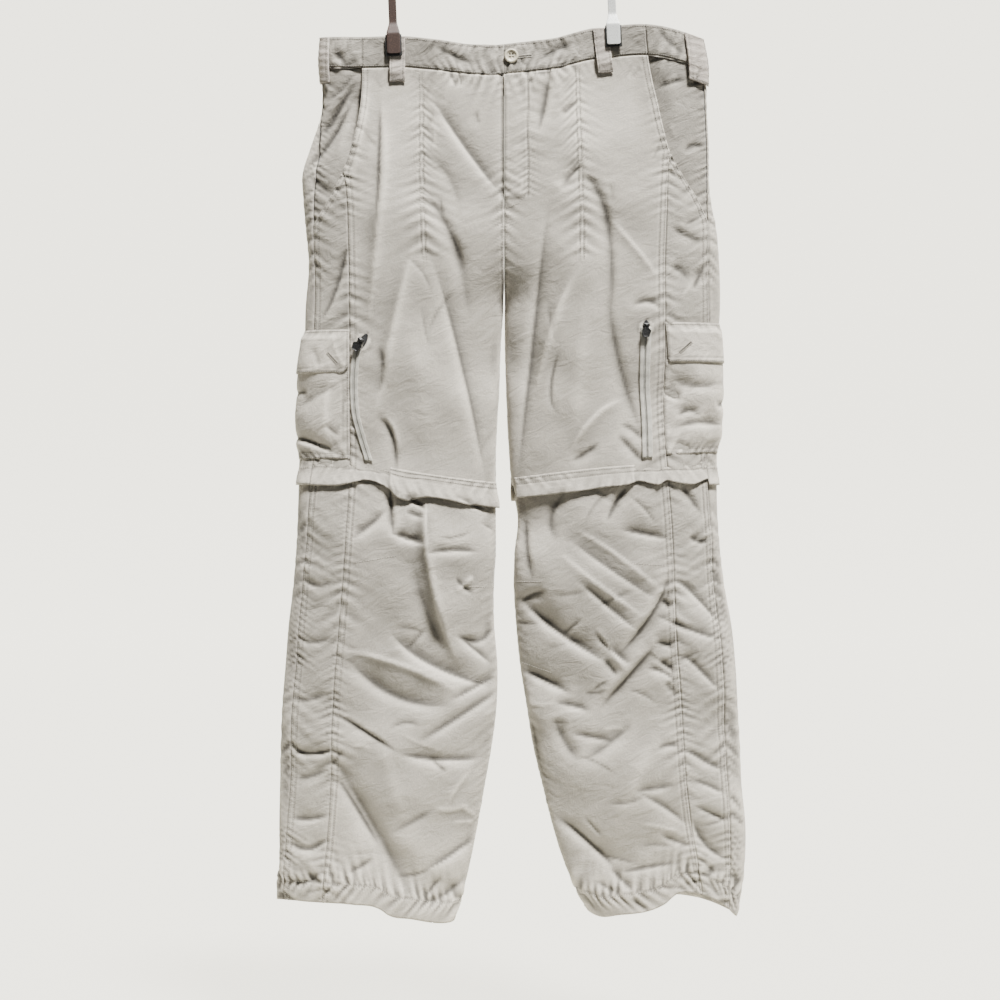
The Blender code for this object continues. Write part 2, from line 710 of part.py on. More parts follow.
def box(bm, centre, size):
    """Adds a box to a bmesh."""
    bmesh.ops.create_cube(bm, size=1, matrix=Matrix.Translation(centre) @ Matrix.Diagonal((*size, 1)))


def rod(bm, centre, radius, length, segments=12):
    """Adds a cylinder along x."""
    turn = Matrix.Rotation(math.pi / 2, 4, "Y")
    bmesh.ops.create_cone(
        bm, cap_ends=True, segments=segments, radius1=radius, radius2=radius, depth=length,
        matrix=Matrix.Translation(centre) @ turn,
    )


def boolean(target, tool, operation):
    """Applies a Boolean of tool on target and removes the tool."""
    modifier = target.modifiers.new(operation, "BOOLEAN")
    modifier.operation = operation
    modifier.object = tool
    bpy.context.view_layer.update()
    evaluated = target.evaluated_get(bpy.context.evaluated_depsgraph_get())
    mesh = bpy.data.meshes.new_from_object(evaluated)
    target.modifiers.clear()
    target.data = mesh
    bpy.data.objects.remove(tool)


def slider_frame(leg):
    """The matrix that lays a slider on the tape: its back to the cloth and its length along the zip."""
    drop = SLIDER_DROP[leg] - DIP_AT_WAIST(SLIDER_X[leg]) * (1 - fade(BAND_HEIGHT, 330, SLIDER_DROP[leg]))
    angle = angle_at(leg, SLIDER_X[leg], drop)
    lift = ZIP_LIFT + ZIP_THICK + SEAM_GAP
    seat, upper, lower, beside, before = (
        Vector(cloth_point(leg, angle + turn, drop + step, lift))
        for turn, step in ((0, 0), (0, -5), (0, 5), (0.018, 0), (-0.018, 0))
    )
    up = (upper - lower).normalized()
    inward = up.cross((beside - before) * SIGN[leg]).normalized()
    across = inward.cross(up)
    frame = Matrix((across, inward, up)).transposed().to_4x4()
    return Matrix.Translation(seat) @ frame @ Matrix.Rotation(SLIDER_TURN[leg], 4, "Y")


def build_thigh_zip(leg):
    """The zip tape of the thigh pocket, its slider with two ears and a pin, and the pull that hangs from the pin."""
    path = smooth_curve(THIGH_ZIP[leg])
    first, last = THIGH_ZIP[leg][0][0], THIGH_ZIP[leg][-1][0]

    def line(down):
        drop = first + (last - first) * down
        return path(drop), drop

    tape = strip(leg, line, 2, lambda down: ZIP_HALF[leg], lambda down: ZIP_LIFT, ZIP_THICK)
    add_object(f"thigh_zip_{leg}", tape(7), COLOURS["zip"])

    deep, tall = SLIDER_SIZE[1:]
    pin_y = -deep / 2 - EYE_RADIUS - 0.5
    pin_z = tall / 2 - 2.2
    lay = slider_frame(leg) @ Matrix.Translation((0, -deep / 2, 0))

    bm = bmesh.new()
    box(bm, (0, 0, 0), SLIDER_SIZE)
    bmesh.ops.bevel(bm, geom=list(bm.edges), offset=0.7, segments=1, affect="EDGES", profile=0.5, material=-1)
    bmesh.ops.transform(bm, matrix=lay, verts=bm.verts)
    slider = add_object(f"zip_slider_{leg}", bm, COLOURS["black"], 0.4, 0.3)
    for side in (-1, 1):
        bm = bmesh.new()
        ear_x = side * (EYE_WIDTH / 2 + 0.3 + EAR_THICK / 2)
        reach = -pin_y + PIN_RADIUS + 0.5
        box(bm, (ear_x, -reach / 2, pin_z), (EAR_THICK, reach, 2.6))
        bmesh.ops.transform(bm, matrix=lay, verts=bm.verts)
        boolean(slider, add_object("ear", bm, COLOURS["black"]), "UNION")
    bm = bmesh.new()
    rod(bm, (0, pin_y, pin_z), PIN_RADIUS, EYE_WIDTH + 0.6 + EAR_THICK)
    bmesh.ops.transform(bm, matrix=lay, verts=bm.verts)
    boolean(slider, add_object("pin", bm, COLOURS["black"]), "UNION")

    bm = bmesh.new()
    rod(bm, (0, pin_y, pin_z), EYE_RADIUS, EYE_WIDTH, 16)
    bmesh.ops.transform(bm, matrix=lay, verts=bm.verts)
    pull = add_object(f"zip_pull_{leg}", bm, COLOURS["black"], 0.5)
    plate_width, plate_thick, plate_tall = PULL_SIZE
    for size, low in (((EYE_WIDTH - 0.2, plate_thick, 5.0), 3.0), ((plate_width, plate_thick, plate_tall), 9.4)):
        bm = bmesh.new()
        box(bm, (0, pin_y, pin_z - low), size)
        bmesh.ops.transform(bm, matrix=lay, verts=bm.verts)
        boolean(pull, add_object("plate", bm, COLOURS["black"]), "UNION")
    bm = bmesh.new()
    rod(bm, (0, pin_y, pin_z), PIN_RADIUS + 0.3, EYE_WIDTH + 2, 16)
    bmesh.ops.transform(bm, matrix=lay, verts=bm.verts)
    boolean(pull, add_object("bore", bm, COLOURS["black"]), "DIFFERENCE")


BUTTON_X = 14.0
BUTTON_DROP_ON_BAND = 17.0
BUTTON_PROFILE = ((7.6, 0.0), (8.8, 0.9), (8.6, 2.0), (7.4, 2.7), (6.2, 2.5), (5.4, 1.9))


def build_button():
    """The four-hole waist button on the left end of the waistband."""
    angle = angle_at("left", BUTTON_X, BUTTON_DROP_ON_BAND)
    seat = cloth_point("left", angle, BUTTON_DROP_ON_BAND, BAND_OUT + STRIP_LIFT)
    rings = [
        [
            Vector(seat) + Vector((radius * math.cos(turn), -0.5 - height, radius * math.sin(turn)))
            for turn in np.linspace(0, math.tau, 24, endpoint=False)
        ]
        for radius, height in BUTTON_PROFILE
    ]
    button = add_object("waist_button", loft(rings), COLOURS["button"], 0.35)
    for hole_x in (-1.9, 1.9):
        for hole_z in (-1.9, 1.9):
            bm = bmesh.new()
            bmesh.ops.create_cone(
                bm, cap_ends=True, segments=8, radius1=1.0, radius2=1.0, depth=12,
                matrix=Matrix.Translation(Vector(seat) + Vector((hole_x, 0, hole_z)))
                @ Matrix.Rotation(math.pi / 2, 4, "X"),
            )
            boolean(button, add_object("hole", bm, COLOURS["button"]), "DIFFERENCE")


def hanger_frame():
    """The tilt of the whole hanger about the crown of its hook."""
    return Matrix.Rotation(-HANGER_TILT, 4, "Y")


def build_hanger():
    """The bar and the wire hook."""
    tilt = hanger_frame()
    bm = bmesh.new()
    rod(bm, (0, 0, -BAR_DROP), BAR_RADIUS, BAR_LENGTH, 16)
    bmesh.ops.transform(bm, matrix=tilt, verts=bm.verts)
    add_object("hanger_bar", bm, COLOURS["steel"], 0.3, 1.0)

    middle_z = HOOK_WIRE - HOOK_RADIUS
    arc = [
        (HOOK_RADIUS * math.cos(turn), middle_z + HOOK_RADIUS * math.sin(turn))
        for turn in np.radians(np.linspace(-38, 196, 20))
    ]
    foot = -BAR_DROP + BAR_RADIUS + SEAM_GAP
    neck = ((0, foot), (0, foot + 12), (0, foot + 24), (1.5, foot + 32), (6, foot + 39), (12, foot + 46))
    points = [Vector((x, 0, z)) for x, z in (*neck, *arc)]
    rings = []
    for k, point in enumerate(points):
        along = (points[min(k + 1, len(points) - 1)] - points[max(k - 1, 0)]).normalized()
        beside = Vector((0, 1, 0)).cross(along)
        rings.append([
            tilt @ (point + HOOK_WIRE * (math.cos(turn) * beside + Vector((0, math.sin(turn), 0))))
            for turn in np.linspace(0, math.tau, 10, endpoint=False)
        ])
    add_object("hanger_hook", loft(rings), COLOURS["steel"], 0.3, 1.0)


def loft(rings):
    """A closed solid through rings of points."""
    bm = bmesh.new()
    loops = []
    for ring in rings:
        verts = [bm.verts.new(point) for point in ring]
        loops.append([bm.edges.new(pair) for pair in zip(verts, verts[1:] + verts[:1])])
    for lower, upper in zip(loops, loops[1:]):
        bmesh.ops.bridge_loops(bm, edges=lower + upper)
    for loop in (loops[0], loops[-1]):
        bmesh.ops.edgeloop_fill(bm, edges=loop)
    return bm


def clip_stack(leg):
    """How far the pads stand off the middle plane: over the belt loop in front, on the waistband behind."""
    front = PINCHED_DEPTH + BAND_OUT + STRIP_LIFT + LOOP_THICK + 1.0
    back = PINCHED_DEPTH + BAND_OUT + 1.0
    return front, back


def build_clip(leg):
    """One clip: two rubber pads on the waistband, and a front and a back strip that rise to the bar."""
    tilt = hanger_frame()
    foot_world = Vector((CLIP_X[leg], 0, WAIST_Z - CLIP_FOOT[leg]))
    foot = tilt.inverted() @ foot_world
    rise = -BAR_DROP - foot.z
    lay = tilt @ Matrix.Translation((foot.x, 0, foot.z))
    front, back = clip_stack(leg)
    metal = COLOURS["brown"] if leg == "right" else COLOURS["steel"]
    for side, direction, stand in (("front", -1, front), ("back", 1, back)):
        bm = bmesh.new()
        box(bm, (0, direction * (stand + PAD_THICK / 2), JAW_HEIGHT / 2 - 1), (PAD_WIDTH, PAD_THICK, JAW_HEIGHT))
        bmesh.ops.transform(bm, matrix=lay, verts=bm.verts)
        add_object(f"clip_pad_{side}_{leg}", bm, COLOURS["black"], 0.7)
        jaw_y = stand + PAD_THICK + SEAM_GAP + STRIP_THICK / 2
        stem_y = STRIP_THICK / 2 + SEAM_GAP
        eye = BAR_RADIUS + SEAM_GAP + STRIP_THICK / 2
        line = [(jaw_y, 1.5), (jaw_y, JAW_HEIGHT + 1), (stem_y + 1.5, JAW_HEIGHT + 11), (stem_y, JAW_HEIGHT + 15)]
        if side == "front":
            line += [(stem_y, rise - eye - 4), (eye * 0.62, rise - eye * 0.78)]
            line += [(eye * math.cos(turn), rise + eye * math.sin(turn)) for turn in np.radians((-20, 15, 50, 90))]
            line += [(-eye * math.cos(turn), rise + eye * math.sin(turn)) for turn in np.radians((50, 15))]
        else:
            line += [(stem_y, rise - eye - 5)]
        widths = [JAW_WIDTH / 2] * 2 + [6.0, 5.0] + [5.0] * (len(line) - 4)
        add_object(f"clip_{side}_{leg}", bent_strip(line, widths, direction, lay), metal, 0.35, 0.8)


def bent_strip(line, widths, direction, lay):
    """A metal strip that follows a line of (distance from the middle plane, height), of the given half widths."""
    points = [Vector((0, direction * y, z)) for y, z in line]
    rings = []
    for k, point in enumerate(points):
        along = (points[min(k + 1, len(points) - 1)] - points[max(k - 1, 0)]).normalized()
        thick = Vector((1, 0, 0)).cross(along) * STRIP_THICK / 2
        wide = Vector((widths[k], 0, 0))
        corners = (point - wide - thick, point + wide - thick, point + wide + thick, point - wide + thick)
        rings.append([lay @ corner for corner in corners])
    return loft(rings)


def main():
    for thing in list(bpy.data.objects):
        bpy.data.objects.remove(thing)
    for leg in SIGN:
        build_waistband(leg)
        build_thigh(leg)
        build_shin(leg)
        build_belt_loops(leg)
        build_knee(leg)
        build_cargo_pocket(leg)
        build_thigh_zip(leg)
        build_clip(leg)
    build_back_loop()
    build_fly()
    build_button()
    build_hanger()


main()
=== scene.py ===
# %% [markdown]
# Convertible zip-off trousers hang by the waistband from a clip hanger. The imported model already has
# every panel, pocket, loop and zip as a plain solid. This lesson dresses it: the cloth gets its creases,
# puckered seams, stitches and weave, and the hard parts get their finish. Lengths in the tables are
# millimetres, x runs to the right seen from the front, and a "drop" is how far a point lies below the top
# of the waistband.

import json
import math

import bmesh
import bpy
import numpy as np
from mathutils import Matrix, Vector


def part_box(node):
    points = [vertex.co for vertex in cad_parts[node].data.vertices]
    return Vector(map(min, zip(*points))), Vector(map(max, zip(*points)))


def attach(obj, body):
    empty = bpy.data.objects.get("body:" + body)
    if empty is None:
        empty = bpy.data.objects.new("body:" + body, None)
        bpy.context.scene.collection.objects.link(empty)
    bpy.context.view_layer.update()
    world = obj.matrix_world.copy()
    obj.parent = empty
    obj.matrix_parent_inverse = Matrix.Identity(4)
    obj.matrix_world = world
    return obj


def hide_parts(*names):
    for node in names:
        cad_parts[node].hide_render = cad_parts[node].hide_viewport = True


MM = 0.001
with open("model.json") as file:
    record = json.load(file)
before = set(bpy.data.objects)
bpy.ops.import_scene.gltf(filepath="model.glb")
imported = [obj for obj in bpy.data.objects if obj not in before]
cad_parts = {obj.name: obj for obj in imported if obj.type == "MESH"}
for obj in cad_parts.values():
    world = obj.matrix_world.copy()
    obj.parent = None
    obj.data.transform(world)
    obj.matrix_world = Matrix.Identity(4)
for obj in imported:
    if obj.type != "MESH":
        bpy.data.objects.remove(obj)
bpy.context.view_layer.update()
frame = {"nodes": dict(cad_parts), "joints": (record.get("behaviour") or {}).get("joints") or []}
nodes = frame["nodes"]
GARMENT = "garment_and_hanger"
print("the frame has", len(nodes), "nodes")

# %% [markdown]
# The camera stands at waist-to-knee height, two and a half metres away, and looks straight at the front.
# At that distance the picture is 1.25 m wide at the cloth. The main light is a wide window high on the
# right, so slopes that face left or down are dark, and weak lamps from the front and from behind fill the
# shadows. The floor runs up into a far wall in one sweep, so no line shows behind the trousers. The sky
# looks as pale as the paper, for the views from the side and from behind, but lights as little as a dim
# room does.

# %% Camera
VIEW_CENTRE_Z = -0.7348
VIEW_WIDTH = 1.25
CAMERA_AWAY = 2.5
SENSOR = 36.0

camera_data = bpy.data.cameras.new("camera")
camera_data.sensor_width = SENSOR
camera_data.lens = SENSOR * CAMERA_AWAY / VIEW_WIDTH
camera = bpy.data.objects.new("camera", camera_data)
camera.location = (0, -CAMERA_AWAY, VIEW_CENTRE_Z)
camera.rotation_euler = (math.pi / 2, 0, 0)
bpy.context.scene.collection.objects.link(camera)
bpy.context.scene.camera = camera


# %% Soft lamps
def soft_lamp(name, place, aim, size, watts):
    """A square area lamp at place that shines towards aim."""
    data = bpy.data.lights.new(name, "AREA")
    data.size = size
    data.energy = watts
    lamp = bpy.data.objects.new(name, data)
    lamp.location = place
    lamp.rotation_euler = (Vector(aim) - Vector(place)).to_track_quat("-Z", "Y").to_euler()
    bpy.context.scene.collection.objects.link(lamp)


# %% Window light and fill
WINDOW_WAY = (-0.24, 0.37, -0.90)
WINDOW_STRENGTH = 13.5
WINDOW_ANGLE = math.radians(11)

window_data = bpy.data.lights.new("window", "SUN")
window_data.energy = WINDOW_STRENGTH
window_data.angle = WINDOW_ANGLE
window_data.color = (1, 0.99, 0.97)
window = bpy.data.objects.new("window", window_data)
window.rotation_euler = Vector(WINDOW_WAY).to_track_quat("-Z", "Y").to_euler()
bpy.context.scene.collection.objects.link(window)
soft_lamp("fill", (1.6, -2.4, -0.2), (0, 0, VIEW_CENTRE_Z), 1.8, 5)
soft_lamp("back", (-0.8, 2.4, 0.8), (0, 0, VIEW_CENTRE_Z), 1.6, 30)


# %% [markdown]
# The finishes and the sky are trees of shader nodes. Three short functions make a node, set it up and
# wire it, so each finish further down takes only a few lines.

# %% Shader nodes
def feed(tree, node, inputs):
    """Gives a node's inputs their values, or links them to the sockets that feed them."""
    for key, value in inputs.items():
        if isinstance(value, bpy.types.NodeSocket):
            tree.links.new(value, node.inputs[key])
        else:
            node.inputs[key].default_value = value


def add_node(tree, kind, inputs, **settings):
    """A new shader node, fed and with its properties set."""
    node = tree.nodes.new(kind)
    for key, value in settings.items():
        setattr(node, key, value)
    feed(tree, node, inputs)
    return node


def new_material(name):
    """A material with its node tree and its shader."""
    material = bpy.data.materials.new(name)
    material.use_nodes = True
    return material, material.node_tree, material.node_tree.nodes["Principled BSDF"]


# %% Sky
PAPER_GLOW = (0.80, 0.77, 0.655, 1)

world = bpy.data.worlds.new("studio")
world.use_nodes = True
sky = world.node_tree.nodes["Background"]
feed(world.node_tree, sky, {"Color": (0.80, 0.79, 0.76, 1), "Strength": 0.12})
pale_sky = add_node(world.node_tree, "ShaderNodeBackground", {"Color": PAPER_GLOW, "Strength": 3.95})
ray = add_node(world.node_tree, "ShaderNodeLightPath", {})
seen = add_node(
    world.node_tree, "ShaderNodeMixShader",
    {0: ray.outputs["Is Camera Ray"], 1: sky.outputs[0], 2: pale_sky.outputs[0]},
)
feed(world.node_tree, world.node_tree.nodes["World Output"], {"Surface": seen.outputs[0]})
bpy.context.scene.world = world

# %% Pale sweep of floor and wall
FLOOR_Z = -1.42
SWEEP_HALF_WIDTH = 8.0
SWEEP_FRONT = -0.3
SWEEP_BACK = 9.0
SWEEP_RADIUS = 1.2
SWEEP_TOP = 7.0
SWEEP_STEPS = 16

sweep = bmesh.new()
floor_edge = [sweep.verts.new((side * SWEEP_HALF_WIDTH, SWEEP_FRONT, FLOOR_Z)) for side in (-1, 1)]
edge = sweep.edges.new(floor_edge)
bmesh.ops.extrude_edge_only(sweep, edges=[edge])
sweep.verts.ensure_lookup_table()
bmesh.ops.translate(sweep, verts=sweep.verts[2:], vec=(0, SWEEP_BACK - SWEEP_RADIUS - SWEEP_FRONT, 0))
last = [edge for edge in sweep.edges if all(vert.co.y > SWEEP_FRONT for vert in edge.verts)]
bend_centre = (0, SWEEP_BACK - SWEEP_RADIUS, FLOOR_Z + SWEEP_RADIUS)
far_edge = last + list({vert for edge in last for vert in edge.verts})
turned = bmesh.ops.spin(
    sweep, geom=far_edge, cent=bend_centre, axis=(1, 0, 0), angle=math.pi / 2, steps=SWEEP_STEPS
)
top = [item for item in turned["geom_last"] if isinstance(item, bmesh.types.BMEdge)]
raised = bmesh.ops.extrude_edge_only(sweep, edges=top)["geom"]
upper = [item for item in raised if isinstance(item, bmesh.types.BMVert)]
bmesh.ops.translate(sweep, verts=upper, vec=(0, 0, SWEEP_TOP))
sweep_mesh = bpy.data.meshes.new("sweep")
sweep.to_mesh(sweep_mesh)
sweep.free()
sweep_mesh.shade_smooth()
backdrop = bpy.data.objects.new("sweep", sweep_mesh)
bpy.context.scene.collection.objects.link(backdrop)

paper, _, paper_shader = new_material("pale_paper")
paper_shader.inputs["Roughness"].default_value = 0.95
paper_shader.inputs["Specular IOR Level"].default_value = 0.1
paper_shader.inputs["Base Color"].default_value = (0.12, 0.12, 0.115, 1)
paper_shader.inputs["Emission Color"].default_value = PAPER_GLOW
paper_shader.inputs["Emission Strength"].default_value = 3.7
sweep_mesh.materials.append(paper)
print("the sweep has", len(sweep_mesh.polygons), "faces")

# %% [markdown]
# Each half of the trousers is a flattened ring at every height: a waist half above the crotch and a leg
# tube below it. The tables give the folds of the outline, the seams and the depth. A smooth curve reads
# them at any height.

# %% Outline, seams and depth of the garment
WAIST_Z = -141.0
BAND_HEIGHT = 38.5
HIP_DROP = 150.0
CROTCH_DROP = 355.0
KNEE_CUT = 556.0
SHIN_START = 568.0
HEM_DROP = 1100.0
HEM_HEIGHT = 28.0
CLOTH = 1.2
BAND_OUT = 0.9
ROUNDNESS = 0.8
SIGN = {"right": -1.0, "left": 1.0}

OUTLINE_COLUMNS = ("drop", "right_outer", "right_inner", "left_inner", "left_outer")
OUTLINE = (
    (0, -223, 5.0, 5.0, 252), (40, -223, 5.0, 5.0, 257), (100, -224, 5.0, 5.0, 259),
    (140, -236, 5.0, 5.0, 261), (180, -247, 5.0, 5.0, 261), (210, -246, 5.0, 5.0, 263),
    (250, -243, 5.0, 5.0, 270), (300, -239, 4.9, 5.1, 274), (355, -243, 4.2, 5.8, 275),
    (400, -244, 1.0, 6.0, 272), (450, -247, -1.0, 7.5, 272), (500, -249, -4.5, 10, 272),
    (550, -251, -5.0, 14, 271), (600, -252, -5.0, 22, 271), (650, -254, -5.0, 18, 274),
    (700, -258, -7.5, 17, 280), (750, -264, -7.0, 20, 289), (800, -268, -3.0, 25, 294),
    (850, -272, -4.0, 33, 297), (900, -274, -10, 41, 300), (950, -275, -19, 53, 302),
    (1000, -276, -29, 66, 307), (1050, -276, -41, 83, 305), (1100, -280, -56, 108, 297),
)
SEAM_COLUMNS = ("drop", "right_side", "right_front", "left_front", "left_side")
SEAMS = (
    (0, -223.0, -188, 209, 251.5), (120, -226.0, -188, 209, 258.0), (240, -232.0, -188, 206, 259.0),
    (320, -231.0, -187, 204, 259.5), (400, -231.0, -186, 204, 259.5), (500, -231.0, -186, 203, 258.0),
    (560, -234.0, -186, 207, 257.0), (650, -241.0, -191, 214, 263.0), (750, -250.0, -199, 217, 272.0),
    (850, -258.0, -207, 225, 279.0), (950, -262.5, -210, 231, 283.0), (1050, -268.0, -217, 244, 287.0),
    (1100, -271.0, -221, 252, 286.0),
)
POCKET_MOUTH = {
    "right": ((0, -172), (72, -173), (102, -176), (135, -182), (172, -193), (209, -209), (247, -231)),
    "left": (
        (0, 181), (36, 184), (72, 190), (98, 196), (131, 203), (161, 212), (188, 228), (216, 247),
        (240, 258),
    ),
}
MOUTH_END = {"right": 247.0, "left": 240.0}
MOUTH_SEAM = {"right": 178.0, "left": 158.0}
DEPTHS = (
    (0, 15, 15, 0), (60, 22, 24, 0), (150, 31, 37, 0), (250, 35, 43, 0), (355, 33, 40, 0),
    (450, 30, 34, 0), (560, 29, 31, -1), (650, 32, 28, -4), (760, 30, 27, -2), (900, 27, 27, 0),
    (1000, 25, 26, 1), (1100, 23, 24, 2),
)

# %% [markdown]
# Rows of cloth aren't level: the waistband sags between the clips, the knee zips slope, and the hems
# swing. These tables give how far a row dips at each x.

# %% Dips of the waist, the knees and the hems
WAIST_DIP = (
    (-224, 16), (-194, 17), (-142, 15), (-115, 15), (-80, 20), (-45, 26), (-15, 28), (4, 27), (39, 23),
    (74, 18), (92, 12), (116, 5), (132, 4), (152, 1), (178, 0), (205, 4), (240, 14), (258, 20),
)
KNEE_DIP = {
    "right": ((-252, 0), (-186, 1), (-140, 7), (-100, 14), (-34, 23), (-4, 26)),
    "left": ((20, 20), (78, 13), (147, 6), (205, 3), (272, 0)),
}
HEM_DIP = {
    "right": ((-278, -8), (-226, -7), (-184, -5), (-148, 2), (-138, 9), (-110, 14), (-69, 20), (-52, 18)),
    "left": (
        (109, 6), (125, 12), (148, 9), (191, 1), (204, -5), (219, -17), (235, -19), (256, -14), (281, -1),
        (297, 15),
    ),
}
BACK_HEM_DIP = {
    "right": ((-278, -6), (-200, -2), (-120, 9), (-52, 15)),
    "left": ((109, 4), (160, 4), (220, -8), (261, -2), (297, 12)),
}
CLIP_X = {"right": -132.0, "left": 142.0}
PINCH_PLATEAU = 20.0
PINCHED_DEPTH = 3.4


# %% Curves read from the tables
def smooth_curve(points):
    """A function that runs smoothly through (position, value) points."""
    at, value = (np.array(column, float) for column in zip(*points))
    slope = np.gradient(value, at)

    def read(position):
        position = np.clip(np.asarray(position, float), at[0], at[-1])
        k = np.clip(np.searchsorted(at, position, side="right") - 1, 0, len(at) - 2)
        span = at[k + 1] - at[k]
        t = (position - at[k]) / span
        return (
            (1 + 2 * t) * (1 - t) ** 2 * value[k] + t * (1 - t) ** 2 * span * slope[k]
            + t * t * (3 - 2 * t) * value[k + 1] + t * t * (t - 1) * span * slope[k + 1]
        )

    return read


def column(table, columns, name):
    """One named column of a table against its first column, as a smooth curve."""
    k = columns.index(name)
    return smooth_curve([(row[0], row[k]) for row in table])


def fade(start, end, value):
    """0 before start, 1 after end, smooth in between."""
    t = np.clip((np.asarray(value, float) - start) / (end - start), 0, 1)
    return t * t * (3 - 2 * t)


OUTER = {leg: column(OUTLINE, OUTLINE_COLUMNS, leg + "_outer") for leg in SIGN}
INNER = {leg: column(OUTLINE, OUTLINE_COLUMNS, leg + "_inner") for leg in SIGN}
FRONT_SEAM = {leg: column(SEAMS, SEAM_COLUMNS, leg + "_front") for leg in SIGN}
SIDE_SEAM = {leg: column(SEAMS, SEAM_COLUMNS, leg + "_side") for leg in SIGN}
MOUTH = {leg: smooth_curve(POCKET_MOUTH[leg]) for leg in SIGN}
FRONT_DEPTH, BACK_DEPTH, MIDDLE_Y = (smooth_curve([(row[0], row[k]) for row in DEPTHS]) for k in (1, 2, 3))
DIP_AT_WAIST = smooth_curve(WAIST_DIP)
DIP_AT_KNEE = {leg: smooth_curve(KNEE_DIP[leg]) for leg in SIGN}
DIP_AT_HEM = {leg: smooth_curve(HEM_DIP[leg]) for leg in SIGN}
DIP_AT_BACK_HEM = {leg: smooth_curve(BACK_HEM_DIP[leg]) for leg in SIGN}
